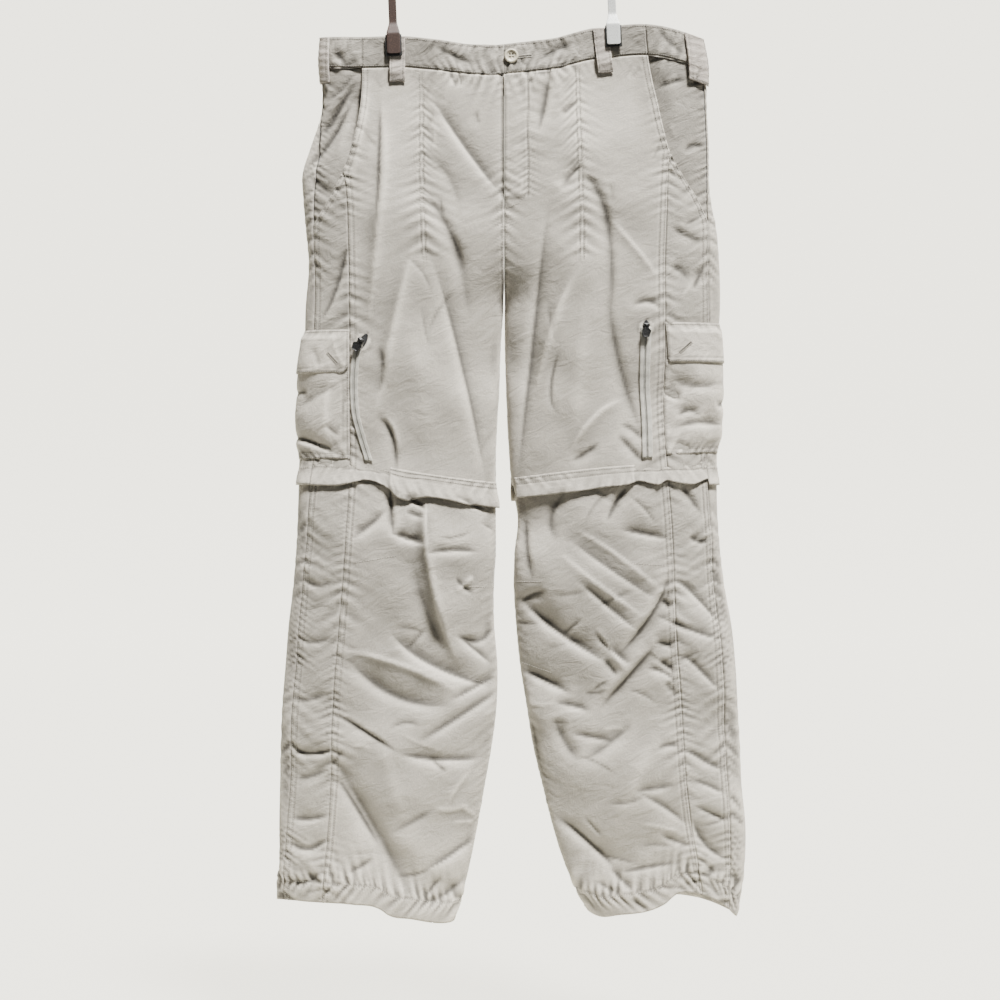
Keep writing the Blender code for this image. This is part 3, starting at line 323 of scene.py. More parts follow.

# %% [markdown]
# The creases are placed one by one from the photograph. Each has a start, a middle and an end, a half width,
# a height that is negative for a trough, and a lean that makes one side steeper, as where cloth folds
# over itself. The profile is a rounded crest between long flanks.

# %% Creases of the front
CREASE_COLUMNS = ("x0", "drop0", "x1", "drop1", "x2", "drop2", "width", "height", "lean")
FRONT_CREASES = (
    (-146, 78, -147, 230, -161, 372, 22, 6.4, -0.55),
    (-149, 100, -149, 170, -151, 246, 5, -3.4, 0.3),
    (-164, 80, -172, 140, -184, 200, 11, 3.0, 0.0),
    (-84, 94, -45, 154, 1, 214, 9, -4.0, -0.5),
    (-96, 214, -66, 255, -42, 319, 13, -4.2, 0.3),
    (-96, 162, -66, 190, -48, 235, 14, -2.4, 0.0),
    (-104, 280, -122, 345, -150, 470, 20, 5.4, -0.55),
    (-110, 370, -98, 450, -84, 530, 40, 3.4, 0.0),
    (-84, 292, -52, 400, -18, 556, 14, -4.2, -0.5),
    (-64, 256, -48, 309, -36, 371, 14, -2.4, 0.0),
    (-189, 280, -206, 337, -224, 374, 8, -4.2, 0.4),
    (-149, 404, -144, 432, -151, 464, 7, -2.8, 0.3),
    (-153, 490, -134, 512, -128, 555, 6, -2.6, 0.3),
    (-140, 490, -129, 512, -126, 538, 5, 1.8, 0.0),
    (-122, 40, -108, 24, -94, 14, 5, -2.6, 0.0),
    (-80, 28, -59, 41, -32, 52, 6, -3.4, 0.3),
    (-72, 12, -52, 22, -26, 30, 5, -2.6, 0.0),
    (48, 52, 62, 38, 97, 24, 6, -3.4, 0.2),
    (150, 10, 166, 22, 184, 31, 6, -3.0, 0.2),
    (-210, 34, -194, 48, -178, 62, 6, -3.2, 0.0),
    (40, 64, 66, 60, 92, 44, 5, -2.2, 0.0),
    (198, 8, 214, 26, 232, 40, 6, -3.0, 0.0),
    (61, 66, 56, 100, 48, 135, 9, -4.6, 0.4),
    (94, 99, 85, 108, 76, 116, 6, -2.0, 0.0),
    (101, 175, 90, 190, 76, 207, 9, -3.6, 0.0),
    (104, 188, 126, 224, 136, 272, 12, -4.4, 0.3),
    (133, 238, 138, 310, 135, 366, 14, -3.6, 0.4),
    (134, 340, 146, 420, 175, 512, 15, -4.0, 0.4),
    (134, 244, 166, 280, 196, 319, 5, 1.8, 0.2),
    (60, 240, 41, 395, 24, 560, 14, -4.2, -0.5),
    (98, 309, 72, 362, 46, 452, 12, 3.6, -0.4),
    (71, 416, 63, 465, 76, 488, 4, -1.4, 0.0),
    (105, 360, 98, 450, 90, 530, 34, 4.4, 0.0),
    (150, 469, 116, 492, 90, 529, 6, 2.2, -0.3),
    (90, 545, 108, 534, 122, 524, 6, -2.4, 0.3),
    (147, 514, 163, 531, 178, 548, 6, -2.6, 0.3),
    (150, 500, 166, 508, 176, 520, 5, -1.8, 0.3),
    (164, 353, 184, 349, 199, 358, 5, -2.4, -0.3),
    (212, 302, 224, 310, 236, 321, 9, -2.4, 0.0),
    (254, 306, 246, 320, 240, 333, 6, -2.4, 0.3),
    (213, 255, 232, 266, 252, 272, 7, -2.4, 0.3),
    (194, 80, 212, 74, 232, 70, 5, -2.4, -0.3),
    (230, 160, 241, 152, 256, 154, 5, -2.4, 0.3),
    (228, 252, 244, 245, 256, 236, 5, -2.2, 0.0),
    (-135, 580, -134, 610, -131, 636, 7, -4.6, 0.5),
    (-133, 634, -112, 642, -92, 646, 8, -5.0, -0.6),
    (-118, 590, -104, 596, -91, 606, 6, -3.0, -0.3),
    (-116, 608, -104, 612, -92, 616, 5, -2.4, -0.3),
    (-91, 596, -91, 630, -91, 668, 4, 2.4, 0.6),
    (-54, 588, -36, 598, -17, 606, 5, -2.2, -0.3),
    (-184, 641, -163, 626, -142, 606, 8, -3.4, -0.4),
    (-94, 612, -79, 719, -50, 794, 17, 6.6, -0.6),
    (-106, 668, -94, 724, -66, 786, 16, -3.4, 0.2),
    (-134, 756, -94, 792, -22, 822, 16, -6.0, -0.7),
    (-196, 779, -120, 799, -52, 831, 7, 2.8, 0.0),
    (-186, 790, -130, 836, -62, 846, 19, -6.4, -0.5),
    (-92, 659, -60, 656, -28, 657, 6, -3.4, -0.4),
    (-54, 690, -44, 702, -32, 708, 4, -2.2, 0.0),
    (-54, 706, -44, 698, -34, 688, 4, 2.2, 0.0),
    (-4, 745, -22, 768, -50, 762, 6, -2.6, 0.3),
    (-54, 760, -34, 776, -10, 796, 6, -2.8, -0.4),
    (-200, 860, -166, 880, -129, 903, 5, -2.8, 0.5),
    (-127, 903, -90, 914, -29, 914, 9, -4.0, -0.5),
    (-206, 914, -152, 1008, -108, 1092, 19, -7.4, 0.0),
    (-200, 940, -176, 980, -152, 1020, 5, -2.4, 0.3),
    (-97, 1053, -70, 1040, -30, 1014, 8, -3.2, -0.5),
    (-101, 1097, -69, 1085, -43, 1063, 7, -3.2, -0.4),
    (-134, 1006, -106, 991, -80, 976, 8, -2.0, 0.0),
    (-101, 893, -50, 862, -1, 830, 8, -3.4, -0.4),
    (-62, 842, -34, 828, -2, 812, 6, -2.6, -0.4),
    (-150, 870, -136, 930, -115, 1000, 32, 4.5, 0.0),
    (-240, 150, -214, 121, -180, 74, 9, -7.5, 0.3),
    (-246, 186, -211, 140, -182, 92, 8, -6.0, 0.2),
    (-236, 190, -222, 205, -205, 214, 6, -2.4, 0.0),
    (-218, 96, -200, 84, -184, 66, 5, -2.2, 0.0),
    (-257, 905, -235, 909, -211, 903, 6, -3.6, -0.5),
    (-261, 989, -236, 990, -212, 984, 6, -2.6, -0.4),
    (-263, 1015, -240, 1028, -215, 1014, 6, -3.2, -0.4),
    (-265, 1070, -240, 1068, -221, 1054, 6, -3.2, -0.3),
    (-258, 940, -236, 937, -214, 928, 7, -1.8, 0.0),
    (-255, 836, -238, 842, -216, 832, 6, -2.0, -0.3),
    (-250, 762, -232, 770, -208, 764, 6, -1.8, -0.3),
    (-246, 690, -226, 700, -204, 690, 6, -1.8, -0.3),
    (-159, 1039, -176, 1050, -191, 1057, 5, -2.2, 0.2),
    (-73, 1062, -86, 1078, -97, 1092, 5, -2.4, 0.3),
    (-87, 914, -76, 922, -66, 931, 5, -1.8, 0.2),
    (82, 583, 62, 618, 74, 644, 13, -4.2, 0.0),
    (160, 577, 146, 592, 133, 618, 7, -3.6, -0.3),
    (87, 628, 134, 654, 198, 704, 6, 2.2, 0.5),
    (84, 640, 132, 676, 194, 716, 6, -2.0, -0.5),
    (76, 660, 124, 700, 178, 738, 6, 2.4, 0.4),
    (97, 693, 132, 724, 171, 755, 6, -2.6, -0.5),
    (206, 686, 194, 724, 154, 778, 12, -5.0, -0.7),
    (25, 722, 40, 711, 58, 708, 6, -2.6, 0.3),
    (26, 714, 62, 750, 128, 791, 13, -6.2, -0.65),
    (117, 757, 136, 778, 162, 796, 6, -3.4, -0.4),
    (121, 754, 142, 786, 158, 810, 5, 2.6, 0.0),
    (128, 790, 136, 800, 146, 811, 5, -2.6, 0.0),
    (194, 771, 172, 798, 130, 845, 13, -5.4, -0.6),
    (29, 806, 58, 820, 86, 832, 8, -4.6, -0.5),
    (69, 844, 92, 849, 112, 855, 6, -2.8, -0.3),
    (147, 629, 172, 634, 208, 641, 6, -3.0, -0.4),
    (223, 574, 238, 594, 250, 611, 7, -3.0, 0.3),
    (235, 638, 246, 645, 259, 644, 5, -2.8, -0.3),
    (216, 692, 242, 712, 271, 744, 6, -3.4, -0.5),
    (193, 735, 230, 752, 273, 766, 6, -3.2, -0.4),
    (221, 780, 244, 800, 273, 830, 6, -3.0, -0.4),
    (200, 716, 205, 721, 211, 727, 5, -3.2, 0.0),
    (191, 771, 203, 772, 215, 777, 5, -2.6, -0.3),
    (196, 792, 206, 799, 217, 807, 5, -2.6, -0.3),
    (30, 620, 34, 660, 42, 694, 8, -3.4, 0.4),
    (64, 984, 100, 1012, 142, 1050, 9, -5.4, -0.3),
    (137, 1049, 149, 1064, 167, 1078, 6, -3.0, -0.3),
    (69, 865, 82, 896, 102, 916, 13, -4.6, -0.2),
    (87, 882, 112, 887, 139, 892, 6, -2.6, -0.3),
    (232, 903, 255, 918, 279, 929, 6, -3.0, -0.4),
    (240, 992, 256, 1022, 284, 1040, 8, -4.6, -0.4),
    (168, 952, 194, 950, 217, 945, 7, -2.4, -0.4),
    (200, 1008, 219, 1017, 238, 1022, 6, -2.4, -0.3),
    (190, 890, 166, 945, 142, 1002, 30, 4.2, 0.0),
    (101, 915, 128, 900, 160, 872, 14, -3.6, -0.3),
    (150, 1056, 185, 1049, 219, 1044, 5, -2.2, -0.3),
    (120, 1067, 138, 1078, 152, 1085, 5, -2.4, -0.3),
    (164, 1087, 174, 1096, 186, 1103, 4, -2.0, 0.0),
    (39, 870, 48, 923, 62, 942, 7, -3.2, 0.3),
    (196, 900, 212, 897, 224, 902, 5, -2.0, -0.3),
    (172, 955, 207, 976, 235, 998, 6, -2.6, -0.3),
    (236, 939, 261, 949, 281, 959, 5, -2.6, -0.3),
    (240, 972, 263, 983, 284, 993, 5, -2.4, -0.3),
    (246, 1038, 257, 1047, 268, 1058, 5, -2.4, -0.3),
    (284, 958, 294, 970, 303, 984, 5, -2.4, 0.0),
    (285, 980, 296, 990, 305, 1000, 5, -2.4, 0.0),
    (286, 1054, 292, 1064, 298, 1076, 5, -2.4, 0.0),
    (182, 802, 200, 806, 217, 817, 5, -3.0, -0.3),
    (203, 819, 212, 827, 219, 838, 6, -2.0, 0.0),
)

# %% [markdown]
# The back isn't in the picture. It gets creases of the same kinds: drag lines down from the clips, smile
# lines under the seat, soft columns down the thighs, and a crumpled band behind each knee where the leg
# bends in wear.

# %% Creases of the back
BACK_CREASES = (
    (-132, 70, -106, 180, -62, 300, 14, -5.5, 0.2),
    (142, 70, 118, 180, 78, 300, 14, -5.5, 0.2),
    (-178, 120, -192, 250, -186, 400, 13, -4.4, 0.0),
    (196, 130, 212, 250, 205, 400, 13, -4.4, 0.0),
    (-60, 90, -38, 150, -20, 230, 9, -2.6, 0.2),
    (66, 88, 48, 150, 30, 226, 9, -2.8, 0.2),
    (-12, 352, -60, 400, -120, 425, 12, -5.0, 0.3),
    (20, 352, 70, 404, 128, 430, 12, -5.0, 0.3),
    (-20, 330, -80, 366, -150, 372, 9, -2.8, 0.2),
    (30, 332, 84, 362, 150, 376, 9, -2.8, 0.2),
    (-110, 330, -104, 430, -95, 530, 36, 5.5, 0.0),
    (120, 330, 114, 430, 110, 530, 36, 5.5, 0.0),
    (-60, 420, -50, 480, -44, 545, 9, -2.6, 0.2),
    (72, 425, 66, 480, 60, 545, 9, -2.6, 0.2),
    (-232, 628, -150, 672, -70, 690, 11, -5.2, 0.3),
    (-215, 735, -130, 728, -45, 690, 10, -4.4, 0.2),
    (-220, 676, -160, 700, -96, 712, 8, -2.8, 0.0),
    (-120, 640, -70, 636, -24, 650, 8, -2.8, 0.2),
    (250, 640, 160, 680, 70, 700, 11, -5.2, 0.3),
    (262, 760, 160, 752, 60, 720, 10, -4.4, 0.2),
    (240, 690, 190, 716, 130, 722, 8, -2.8, 0.0),
    (150, 648, 96, 640, 44, 660, 8, -2.8, 0.2),
    (-200, 800, -160, 910, -130, 1010, 14, -4.6, 0.2),
    (-110, 840, -100, 940, -90, 1040, 28, 4.5, 0.0),
    (-230, 860, -200, 880, -150, 884, 7, -2.4, 0.2),
    (-60, 850, -90, 880, -140, 900, 8, -2.6, 0.2),
    (250, 830, 216, 930, 190, 1020, 14, -4.6, 0.2),
    (120, 860, 140, 950, 160, 1040, 28, 4.5, 0.0),
    (270, 880, 236, 900, 190, 904, 7, -2.4, 0.2),
    (60, 870, 104, 900, 150, 914, 8, -2.6, 0.2),
)


# %% [markdown]
# A crease acts on every point near it. Its curve is cut into short straight steps, and the nearest step
# tells how far across the crease a point lies and how far along. The profile across it gives the height,
# which fades towards both of its ends.

# %% Height of the creases at any place
CREASE_DEPTH = 1.3


def crease_height(table, x, drop):
    """Height of all the creases of a table at (x, drop). Each is a rounded crest between long flanks."""
    height = np.zeros(x.shape)
    spot = np.stack((x, drop), -1)
    for row in table:
        c = dict(zip(CREASE_COLUMNS, row))
        start = np.array((c["x0"], c["drop0"]), float)
        middle = np.array((c["x1"], c["drop1"]), float)
        end = np.array((c["x2"], c["drop2"]), float)
        bend = 2 * middle - (start + end) / 2
        lean = c["lean"]
        reach = 4 * c["width"] * (1 + abs(lean))
        low = np.minimum.reduce((start, middle, end)) - reach
        high = np.maximum.reduce((start, middle, end)) + reach
        near = np.all((spot > low) & (spot < high), axis=-1)
        if not near.any():
            continue
        p = spot[near]
        best = np.full(len(p), 1e9)
        along = np.zeros(len(p))
        side = np.zeros(len(p))
        t = np.linspace(0, 1, 21)[:, None]
        line = (1 - t) ** 2 * start + 2 * t * (1 - t) * bend + t**2 * end
        before, after = line[0] - 2 * (line[1] - line[0]), line[-1] + 2 * (line[-1] - line[-2])
        line = np.concatenate(((before,), line, (after,)))
        travelled = np.concatenate(((0,), np.cumsum(np.hypot(*np.diff(line, axis=0).T))))
        share = travelled / travelled[-1]
        for k in range(len(line) - 1):
            step = line[k + 1] - line[k]
            length = np.hypot(*step)
            to = p - line[k]
            t = np.clip((to @ step) / length**2, 0, 1)
            off = to - t[:, None] * step
            gap = np.hypot(off[:, 0], off[:, 1])
            nearer = gap < best
            best = np.where(nearer, gap, best)
            along = np.where(nearer, share[k] + t * (share[k + 1] - share[k]), along)
            side = np.where(nearer, np.sign(step[0] * to[:, 1] - step[1] * to[:, 0]) * gap, side)
        u = np.abs(side / (c["width"] * np.where(side > 0, 1 + lean, 1 - lean)))
        profile = np.exp(0.3 - 1.35 * np.sqrt(u * u + 0.05)) * (1 - fade(2.4, 3.8, u))
        ends = fade(0, 0.38, along) * (1 - fade(0.62, 1, along))
        height[near] += CREASE_DEPTH * c["height"] * ends * profile
    return height


# %% [markdown]
# Between the drawn creases nylon is never flat. Many small wrinkles of random length and direction fill
# it: mostly upright on the thighs, mostly level and slanting on the lower legs, and short slanting ones
# in the waistband. Long smooth waves bend the whole cloth a little.

# %% Scattered wrinkles and long waves
SCATTER = (
    (60, 70, 530, 26, 75, 35, (18, 60), (3, 6), 0.8),
    (61, 580, 1090, 56, 20, 35, (22, 64), (3, 6), 1.2),
    (62, 18, 74, 56, 55, 30, (10, 30), (2.5, 5), 2.6),
)


def scatter(seed, top, bottom, count, heading, turn, lengths, widths, most):
    """Rows for the crease table: random short wrinkles in a band of the garment. Angles are degrees."""
    rng = np.random.default_rng(seed)
    rows = []
    for _ in range(count):
        x, drop = rng.uniform(-275, 300), rng.uniform(top, bottom)
        way = math.radians(rng.choice((-1, 1)) * heading + rng.uniform(-turn, turn))
        half = np.array((math.cos(way), math.sin(way))) * rng.uniform(*lengths) / 2
        bow = rng.uniform(-0.22, 0.22) * np.array((-half[1], half[0]))
        height = most * rng.uniform(0.35, 1) * rng.choice((-1, -1, 1))
        rows.append((
            x - half[0], drop - half[1], x + bow[0], drop + bow[1], x + half[0], drop + half[1],
            rng.uniform(*widths), height, rng.uniform(-0.6, 0.6),
        ))
    return tuple(rows)


WRINKLES = sum((scatter(*row) for row in SCATTER), ())
WAVE_SEED = 7
WAVE_COUNT = 9
waves = np.random.default_rng(WAVE_SEED)
wave_turns = waves.uniform(0, math.tau, WAVE_COUNT)
wave_phases = waves.uniform(0, math.tau, WAVE_COUNT)
WAVES = np.stack((wave_turns, np.geomspace(45, 190, WAVE_COUNT), wave_phases), -1)
print(len(FRONT_CREASES), "front creases,", len(BACK_CREASES), "at the back,", len(WRINKLES), "wrinkles")


def unevenness(x, drop):
    """Long smooth waves of all cloth, stronger on the lower legs."""
    warp_x = x + 9 * np.sin(drop / 31 + 1.3)
    warp_drop = drop + 9 * np.sin(x / 27 + 0.4)
    total = np.zeros(np.shape(x))
    for turn, length, phase in WAVES:
        wave = np.sin(math.tau * (warp_x * np.cos(turn) + warp_drop * np.sin(turn)) / length + phase)
        total += wave * (length / 100) ** 1.3
    return total * (0.40 + 0.25 * fade(540, 620, drop))


# %% [markdown]
# A point of the cloth is found from an angle round its ring and a drop. The ring is a flattened oval
# between its two folds, and the clips press its front and back together at the waist. The creases,
# wrinkles and waves then move the point along the normal of that smooth form, so they lean with the
# cloth.

# %% The surface of the garment
def crotch_angle(drop):
    """The angle on a leg's ring where the crotch seam cuts it."""
    t = np.clip((np.asarray(drop, float) - HIP_DROP) / (CROTCH_DROP - HIP_DROP), 0, 1)
    return math.pi / 2 * (1 - t * t) ** (0.7 + 0.35 * fade(0.6, 1, t))


def half_width(leg, drop):
    """Half width of a leg's whole ring."""
    return np.abs(OUTER[leg](drop) - INNER[leg](drop)) / (1 + np.cos(crotch_angle(drop)))


def angle_at(leg, x, drop):
    """The angle on the front of a leg's ring that lies at x."""
    wide = half_width(leg, drop)
    middle = OUTER[leg](drop) - SIGN[leg] * wide
    return np.arccos(np.clip(-SIGN[leg] * (x - middle) / wide, -1, 1))


# %% Points on the outer surface
def pinch(x, drop):
    """1 where a clip presses front and back together, 0 away from the clips."""
    total = np.zeros(np.broadcast(x, drop).shape)
    for centre in CLIP_X.values():
        beside = np.maximum(np.abs(x - centre) - PINCH_PLATEAU, 0) / 34
        below = np.maximum(drop - 40, 0) / 75
        total = np.maximum(total, np.exp(-(beside**2) - below**2))
    return total


def bare_ring(leg, angle, drop):
    """Points of a leg's ring before its creases."""
    wide = half_width(leg, drop)
    x = OUTER[leg](drop) - SIGN[leg] * wide * (1 + np.cos(angle))
    s = np.sin(angle)
    swell = np.abs(s) ** ROUNDNESS
    y = MIDDLE_Y(drop) + np.where(s >= 0, -FRONT_DEPTH(drop), BACK_DEPTH(drop)) * swell
    pressed = pinch(x, drop)
    y = y * (1 - pressed) + np.where(s >= 0, -PINCHED_DEPTH, PINCHED_DEPTH) * pressed * np.sign(swell)
    at_knee = 0.5 + 0.5 * np.cos(np.pi * np.clip((drop - KNEE_CUT) / 180, -1, 1))
    hem_share = fade(-0.35, 0.35, s)
    hem = DIP_AT_HEM[leg](x) * hem_share + DIP_AT_BACK_HEM[leg](x) * (1 - hem_share)
    z = WAIST_Z - (
        drop
        + DIP_AT_WAIST(x) * (1 - fade(BAND_HEIGHT, 330, drop))
        + DIP_AT_KNEE[leg](x) * at_knee
        + hem * fade(930, HEM_DROP, drop)
    )
    return np.stack((x, y, z), -1)


def cloth_point(leg, angle, drop, out=0.0):
    """Points that lie out millimetres outside the garment's outer surface, with normals and heights."""
    angle, drop, out = np.broadcast_arrays(*(np.asarray(value, float) for value in (angle, drop, out)))
    point = bare_ring(leg, angle, drop)
    step = 0.02
    across = bare_ring(leg, angle + step, drop) - bare_ring(leg, angle - step, drop)
    down = bare_ring(leg, angle, drop + 1) - bare_ring(leg, angle, drop - 1)
    normal = -SIGN[leg] * np.cross(across, down)
    normal /= np.linalg.norm(normal, axis=-1, keepdims=True)
    fallen = WAIST_Z - point[..., 2]
    s = np.sin(angle)
    x = point[..., 0]
    in_front, behind = (crease_height(table, x, fallen) for table in (FRONT_CREASES, BACK_CREASES))
    height = np.where(s >= 0, in_front, behind)
    height = height + crease_height(WRINKLES, np.where(s >= 0, x, -x), fallen)
    height = height + unevenness(x + 400 * (s < 0), fallen)
    calm = fade(0.02, 0.4, np.abs(s)) * (1 - 0.9 * pinch(x, drop)) * (0.7 + 0.3 * fade(20, 80, drop))
    height = height * calm + out
    return point + normal * height[..., None], normal, height


def local_relief(height, reach):
    """How far each point of a grid stands above the mean of its neighbours."""
    mean = height
    for axis in (0, 1):
        padded = np.pad(mean, [(reach, reach) if k == axis else (0, 0) for k in (0, 1)], mode="edge")
        count = mean.shape[axis]
        shifted = (np.take(padded, range(k, k + count), axis=axis) for k in range(2 * reach + 1))
        mean = sum(shifted) / (2 * reach + 1)
    return height - mean


# %% [markdown]
# Seams pucker: the thread draws the cloth up, so small waves run out from the stitches and die away
# within a couple of centimetres. Each kind of wave has a length, a reach and a share. Cloth also sinks
# where a needle row holds it down. Both are heights that depend on the distance from the seam and on the
# way along it.

# %% Puckers and needle rows
SEAM_GAP = 0.3
PUCKER_WAVES = ((6.1, 5.0, 0.6), (8.3, 8.0, 0.95), (11.7, 11.0, 1.15), (16.3, 15.0, 1.2), (27.0, 20.0, 0.8))
TWIN = (1.8, 7.0)


def pucker(distance, along, strength, seed):
    """Small waves along a seam that die away from it."""
    rng = np.random.default_rng(seed)
    total = np.zeros(np.broadcast(distance, along).shape)
    for wave, reach, share in PUCKER_WAVES:
        slant = -rng.uniform(0.5, 1.3)
        drift = 3.2 * np.sin(along / rng.uniform(22, 45) + rng.uniform(0, 6))
        drift = drift + slant * np.abs(distance) / wave * 4
        swell = np.clip(0.45 + 0.9 * np.sin(along / rng.uniform(18, 60) + rng.uniform(0, 6)), 0.05, None)
        away = np.exp(-np.abs(distance) / reach) * (1 - 0.65 * np.exp(-((distance / 2.5) ** 2)))
        total += share * swell * away * np.sin(math.tau * along / wave + drift)
    return strength * total


def needle_rows(distance, rows, depth=0.45):
    """The grooves that rows of stitches press into cloth, at these distances from a seam."""
    return -depth * sum(np.exp(-(((distance - row) / 1.1) ** 2)) for row in rows)


# %% [markdown]
# A piece of cloth starts as a flat bmesh grid. Its columns are spread evenly along the ring between two
# seams and its rows run down the garment, so the grid is moved onto the surface row by row. The piece
# keeps its grid, so that stitches, coils and buttonholes can be laid on the same bumpy surface later.

# %% Cloth as a grid of points
STEP = 2.6
BACK_STEP = 3.8
sheet_table = []


class Cloth:
    """A grid of points on the outer face of a piece of cloth, in millimetres, with outward normals."""

    def __init__(self, points, normals, heights, widths=None, length=None):
        self.points, self.normals = points, normals
        # Painted shade and painted highlight: the shade is lower in the grid's hollows and higher on its
        # ridges.
        fine = np.clip(local_relief(heights, 1) / 0.22, -1.6, 1)
        broad = np.clip(local_relief(heights, 4) / 1.3, -1.5, 1)
        self.shade = np.clip(1 + 0.18 * fine + 0.17 * broad, 0.3, 1.25)
        self.rows, self.columns = points.shape[0] - 1, points.shape[1] - 1
        across = np.linalg.norm(np.diff(points, axis=1), axis=2)
        self.across = np.concatenate((np.zeros((self.rows + 1, 1)), np.cumsum(across, axis=1)), axis=1)
        down = np.linalg.norm(np.diff(points[:, self.columns // 2], axis=0), axis=1)
        self.down = np.concatenate(((0,), np.cumsum(down)))
        self.widths = self.across[:, -1] if widths is None else widths
        self.length = self.down[-1] if length is None else length

    def at(self, u, v, out=0.0):
        """Points and normals at shares u across and v down."""
        u, v = np.broadcast_arrays(np.clip(np.asarray(u, float), 0, 1), np.clip(np.asarray(v, float), 0, 1))
        r = np.clip((v * self.rows).astype(int), 0, self.rows - 1)
        c = np.clip((u * self.columns).astype(int), 0, self.columns - 1)
        t, s = (v * self.rows - r)[..., None], (u * self.columns - c)[..., None]
        both = []
        for grid in (self.points, self.normals):
            upper = grid[r, c] * (1 - s) + grid[r, c + 1] * s
            lower = grid[r + 1, c] * (1 - s) + grid[r + 1, c + 1] * s
            both.append(upper * (1 - t) + lower * t)
        return both[0] + both[1] * out, both[1]

    def edge(self, side, inset, low=0.0, high=1.0, count=160):
        """Shares u and v along one edge, inset millimetres inside it, from share low to share high."""
        run = np.linspace(low, high, count)
        if side in ("start", "end"):
            share = inset / np.interp(run * self.rows, np.arange(self.rows + 1), self.across[:, -1])
            return (share if side == "start" else 1 - share), run
        share = np.full(count, inset / self.down[-1])
        return run, (share if side == "top" else 1 - share)

    def build(self, name, thick, material, slot="nylon"):
        """The finished piece, with its thickness inwards, standing for the node of the same name."""
        bm = bmesh.new()
        bmesh.ops.create_grid(bm, x_segments=self.columns, y_segments=self.rows, size=0.5)
        uv = bm.loops.layers.uv.new("cloth")
        shares = np.array([(vert.co.x + 0.5, 0.5 - vert.co.y) for vert in bm.verts])
        c = np.rint(shares[:, 0] * self.columns).astype(int)
        r = np.rint(shares[:, 1] * self.rows).astype(int)
        points = self.points[r, c] * MM
        cloth_uv = np.stack((self.across[r, c], -self.down[r]), -1) * MM
        for vert, point in zip(bm.verts, points):
            vert.co = point
        bm.verts.index_update()
        for face in bm.faces:
            for loop in face.loops:
                loop[uv].uv = cloth_uv[loop.vert.index]
        # Every vertex carries the shade, which the material paints into the colour as painted shade and
        # painted highlight.
        shade = bm.verts.layers.float.new("shade")
        for vert, value in zip(bm.verts, self.shade[r, c]):
            vert[shade] = value
        bm.normal_update()
        bm.faces.ensure_lookup_table()
        middle = bm.faces[len(bm.faces) // 2]
        outward = Vector(self.normals[r, c][middle.verts[0].index])
        if middle.normal.dot(outward) < 0:
            bmesh.ops.reverse_faces(bm, faces=bm.faces)
        thing = add_piece(name + "_cloth", bm, material)
        wall = thing.modifiers.new("wall", "SOLIDIFY")
        wall.thickness = thick * MM
        wall.offset = -1
        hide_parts(name)
        width, length = max(10.5, float(self.widths.max())), float(self.length)
        sheet_table.append((name, round(width), round(length)))
        return thing


# %% Adding a piece to the scene
def add_piece(name, bm, material, body=GARMENT, smooth=True):
    """Makes a piece from a bmesh in metres, riding on a body."""
    mesh = bpy.data.meshes.new(name)
    bm.to_mesh(mesh)
    bm.free()
    if smooth:
        mesh.shade_smooth()
    mesh.materials.append(material)
    thing = bpy.data.objects.new(name, mesh)
    bpy.context.scene.collection.objects.link(thing)
    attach(thing, body)
    return thing


# %% [markdown]
# Each panel stops a fraction of a millimetre short of its seams, and its rim sinks a little, so a seam
# shows as a fine line. Its width at every row is measured along the cloth, which keeps the flat pattern
# true.

# %% Panels between two seams
EDGE_ROLL = 0.15
EDGE_REACH = 1.3


def panel(leg, start, end, top, bottom, lift=0.0, relief=None, step=STEP, sag=None):
    """Cloth between two seams, given as angles for each drop.

    relief(x, drop, from_start, from_end) bumps it, and sag(x) says how much lower its bottom hangs at x.
    """
    drops = np.linspace(top, bottom, max(2, round((bottom - top) / step)) + 1)
    lines = []
    for drop in drops:
        turns = np.linspace(float(start(drop)), float(end(drop)), 181)
        strides = np.linalg.norm(np.diff(bare_ring(leg, turns, drop), axis=0), axis=1)
        lines.append((turns, np.concatenate(((0,), np.cumsum(strides)))))
    widths = np.array([length[-1] for _, length in lines])
    columns = max(2, round(widths.max() / step))
    angles, from_start = [], []
    for (turns, length), width in zip(lines, widths):
        at = np.linspace(SEAM_GAP / 2, width - SEAM_GAP / 2, columns + 1)
        angles.append(np.interp(at, length, turns))
        from_start.append(at)
    angles, from_start = np.array(angles), np.array(from_start)
    from_end = widths[:, None] - from_start
    drop = np.repeat(drops[:, None], columns + 1, axis=1)
    if sag:
        x = bare_ring(leg, angles, drop)[..., 0]
        drop = drop + sag(x) * np.clip((drop - top) / (bottom - top), 0, 1) * (np.sin(angles) > 0)
    out = lift(from_start / widths[:, None], drop) if callable(lift) else lift
    if relief:
        x = bare_ring(leg, angles, drop)[..., 0]
        out = out + relief(x, drop, from_start, from_end)
    to_rim = np.minimum(np.minimum(from_start, from_end), np.minimum(drops - top, bottom - drops)[:, None])
    out = out - EDGE_ROLL * np.exp(-((to_rim / EDGE_REACH) ** 2))
    return Cloth(*cloth_point(leg, angles, drop, out), widths, bottom - top)


def patch(place, columns, rows):
    """Cloth from place(across, down), which gives points, normals and heights for shares from 0 to 1."""
    down, across = np.meshgrid(np.linspace(0, 1, rows + 1), np.linspace(0, 1, columns + 1), indexing="ij")
    return Cloth(*place(across, down))


# %% [markdown]
# The cloth is a light nylon: a fine plain weave with a dull sheen. The weave is too fine to model, so it
# is bump from two crossed waves on the piece's own UV map, which is in metres of cloth. Nylon that has
# been washed and used also crumples finely, which noise stretched along a slant gives. Slow noise shifts
# the tone a little. Each grid keeps a "shade" of its own, lower in its hollows and higher on its ridges,
# and the colour follows it: painted shade in the hollows and painted highlight on the ridges.


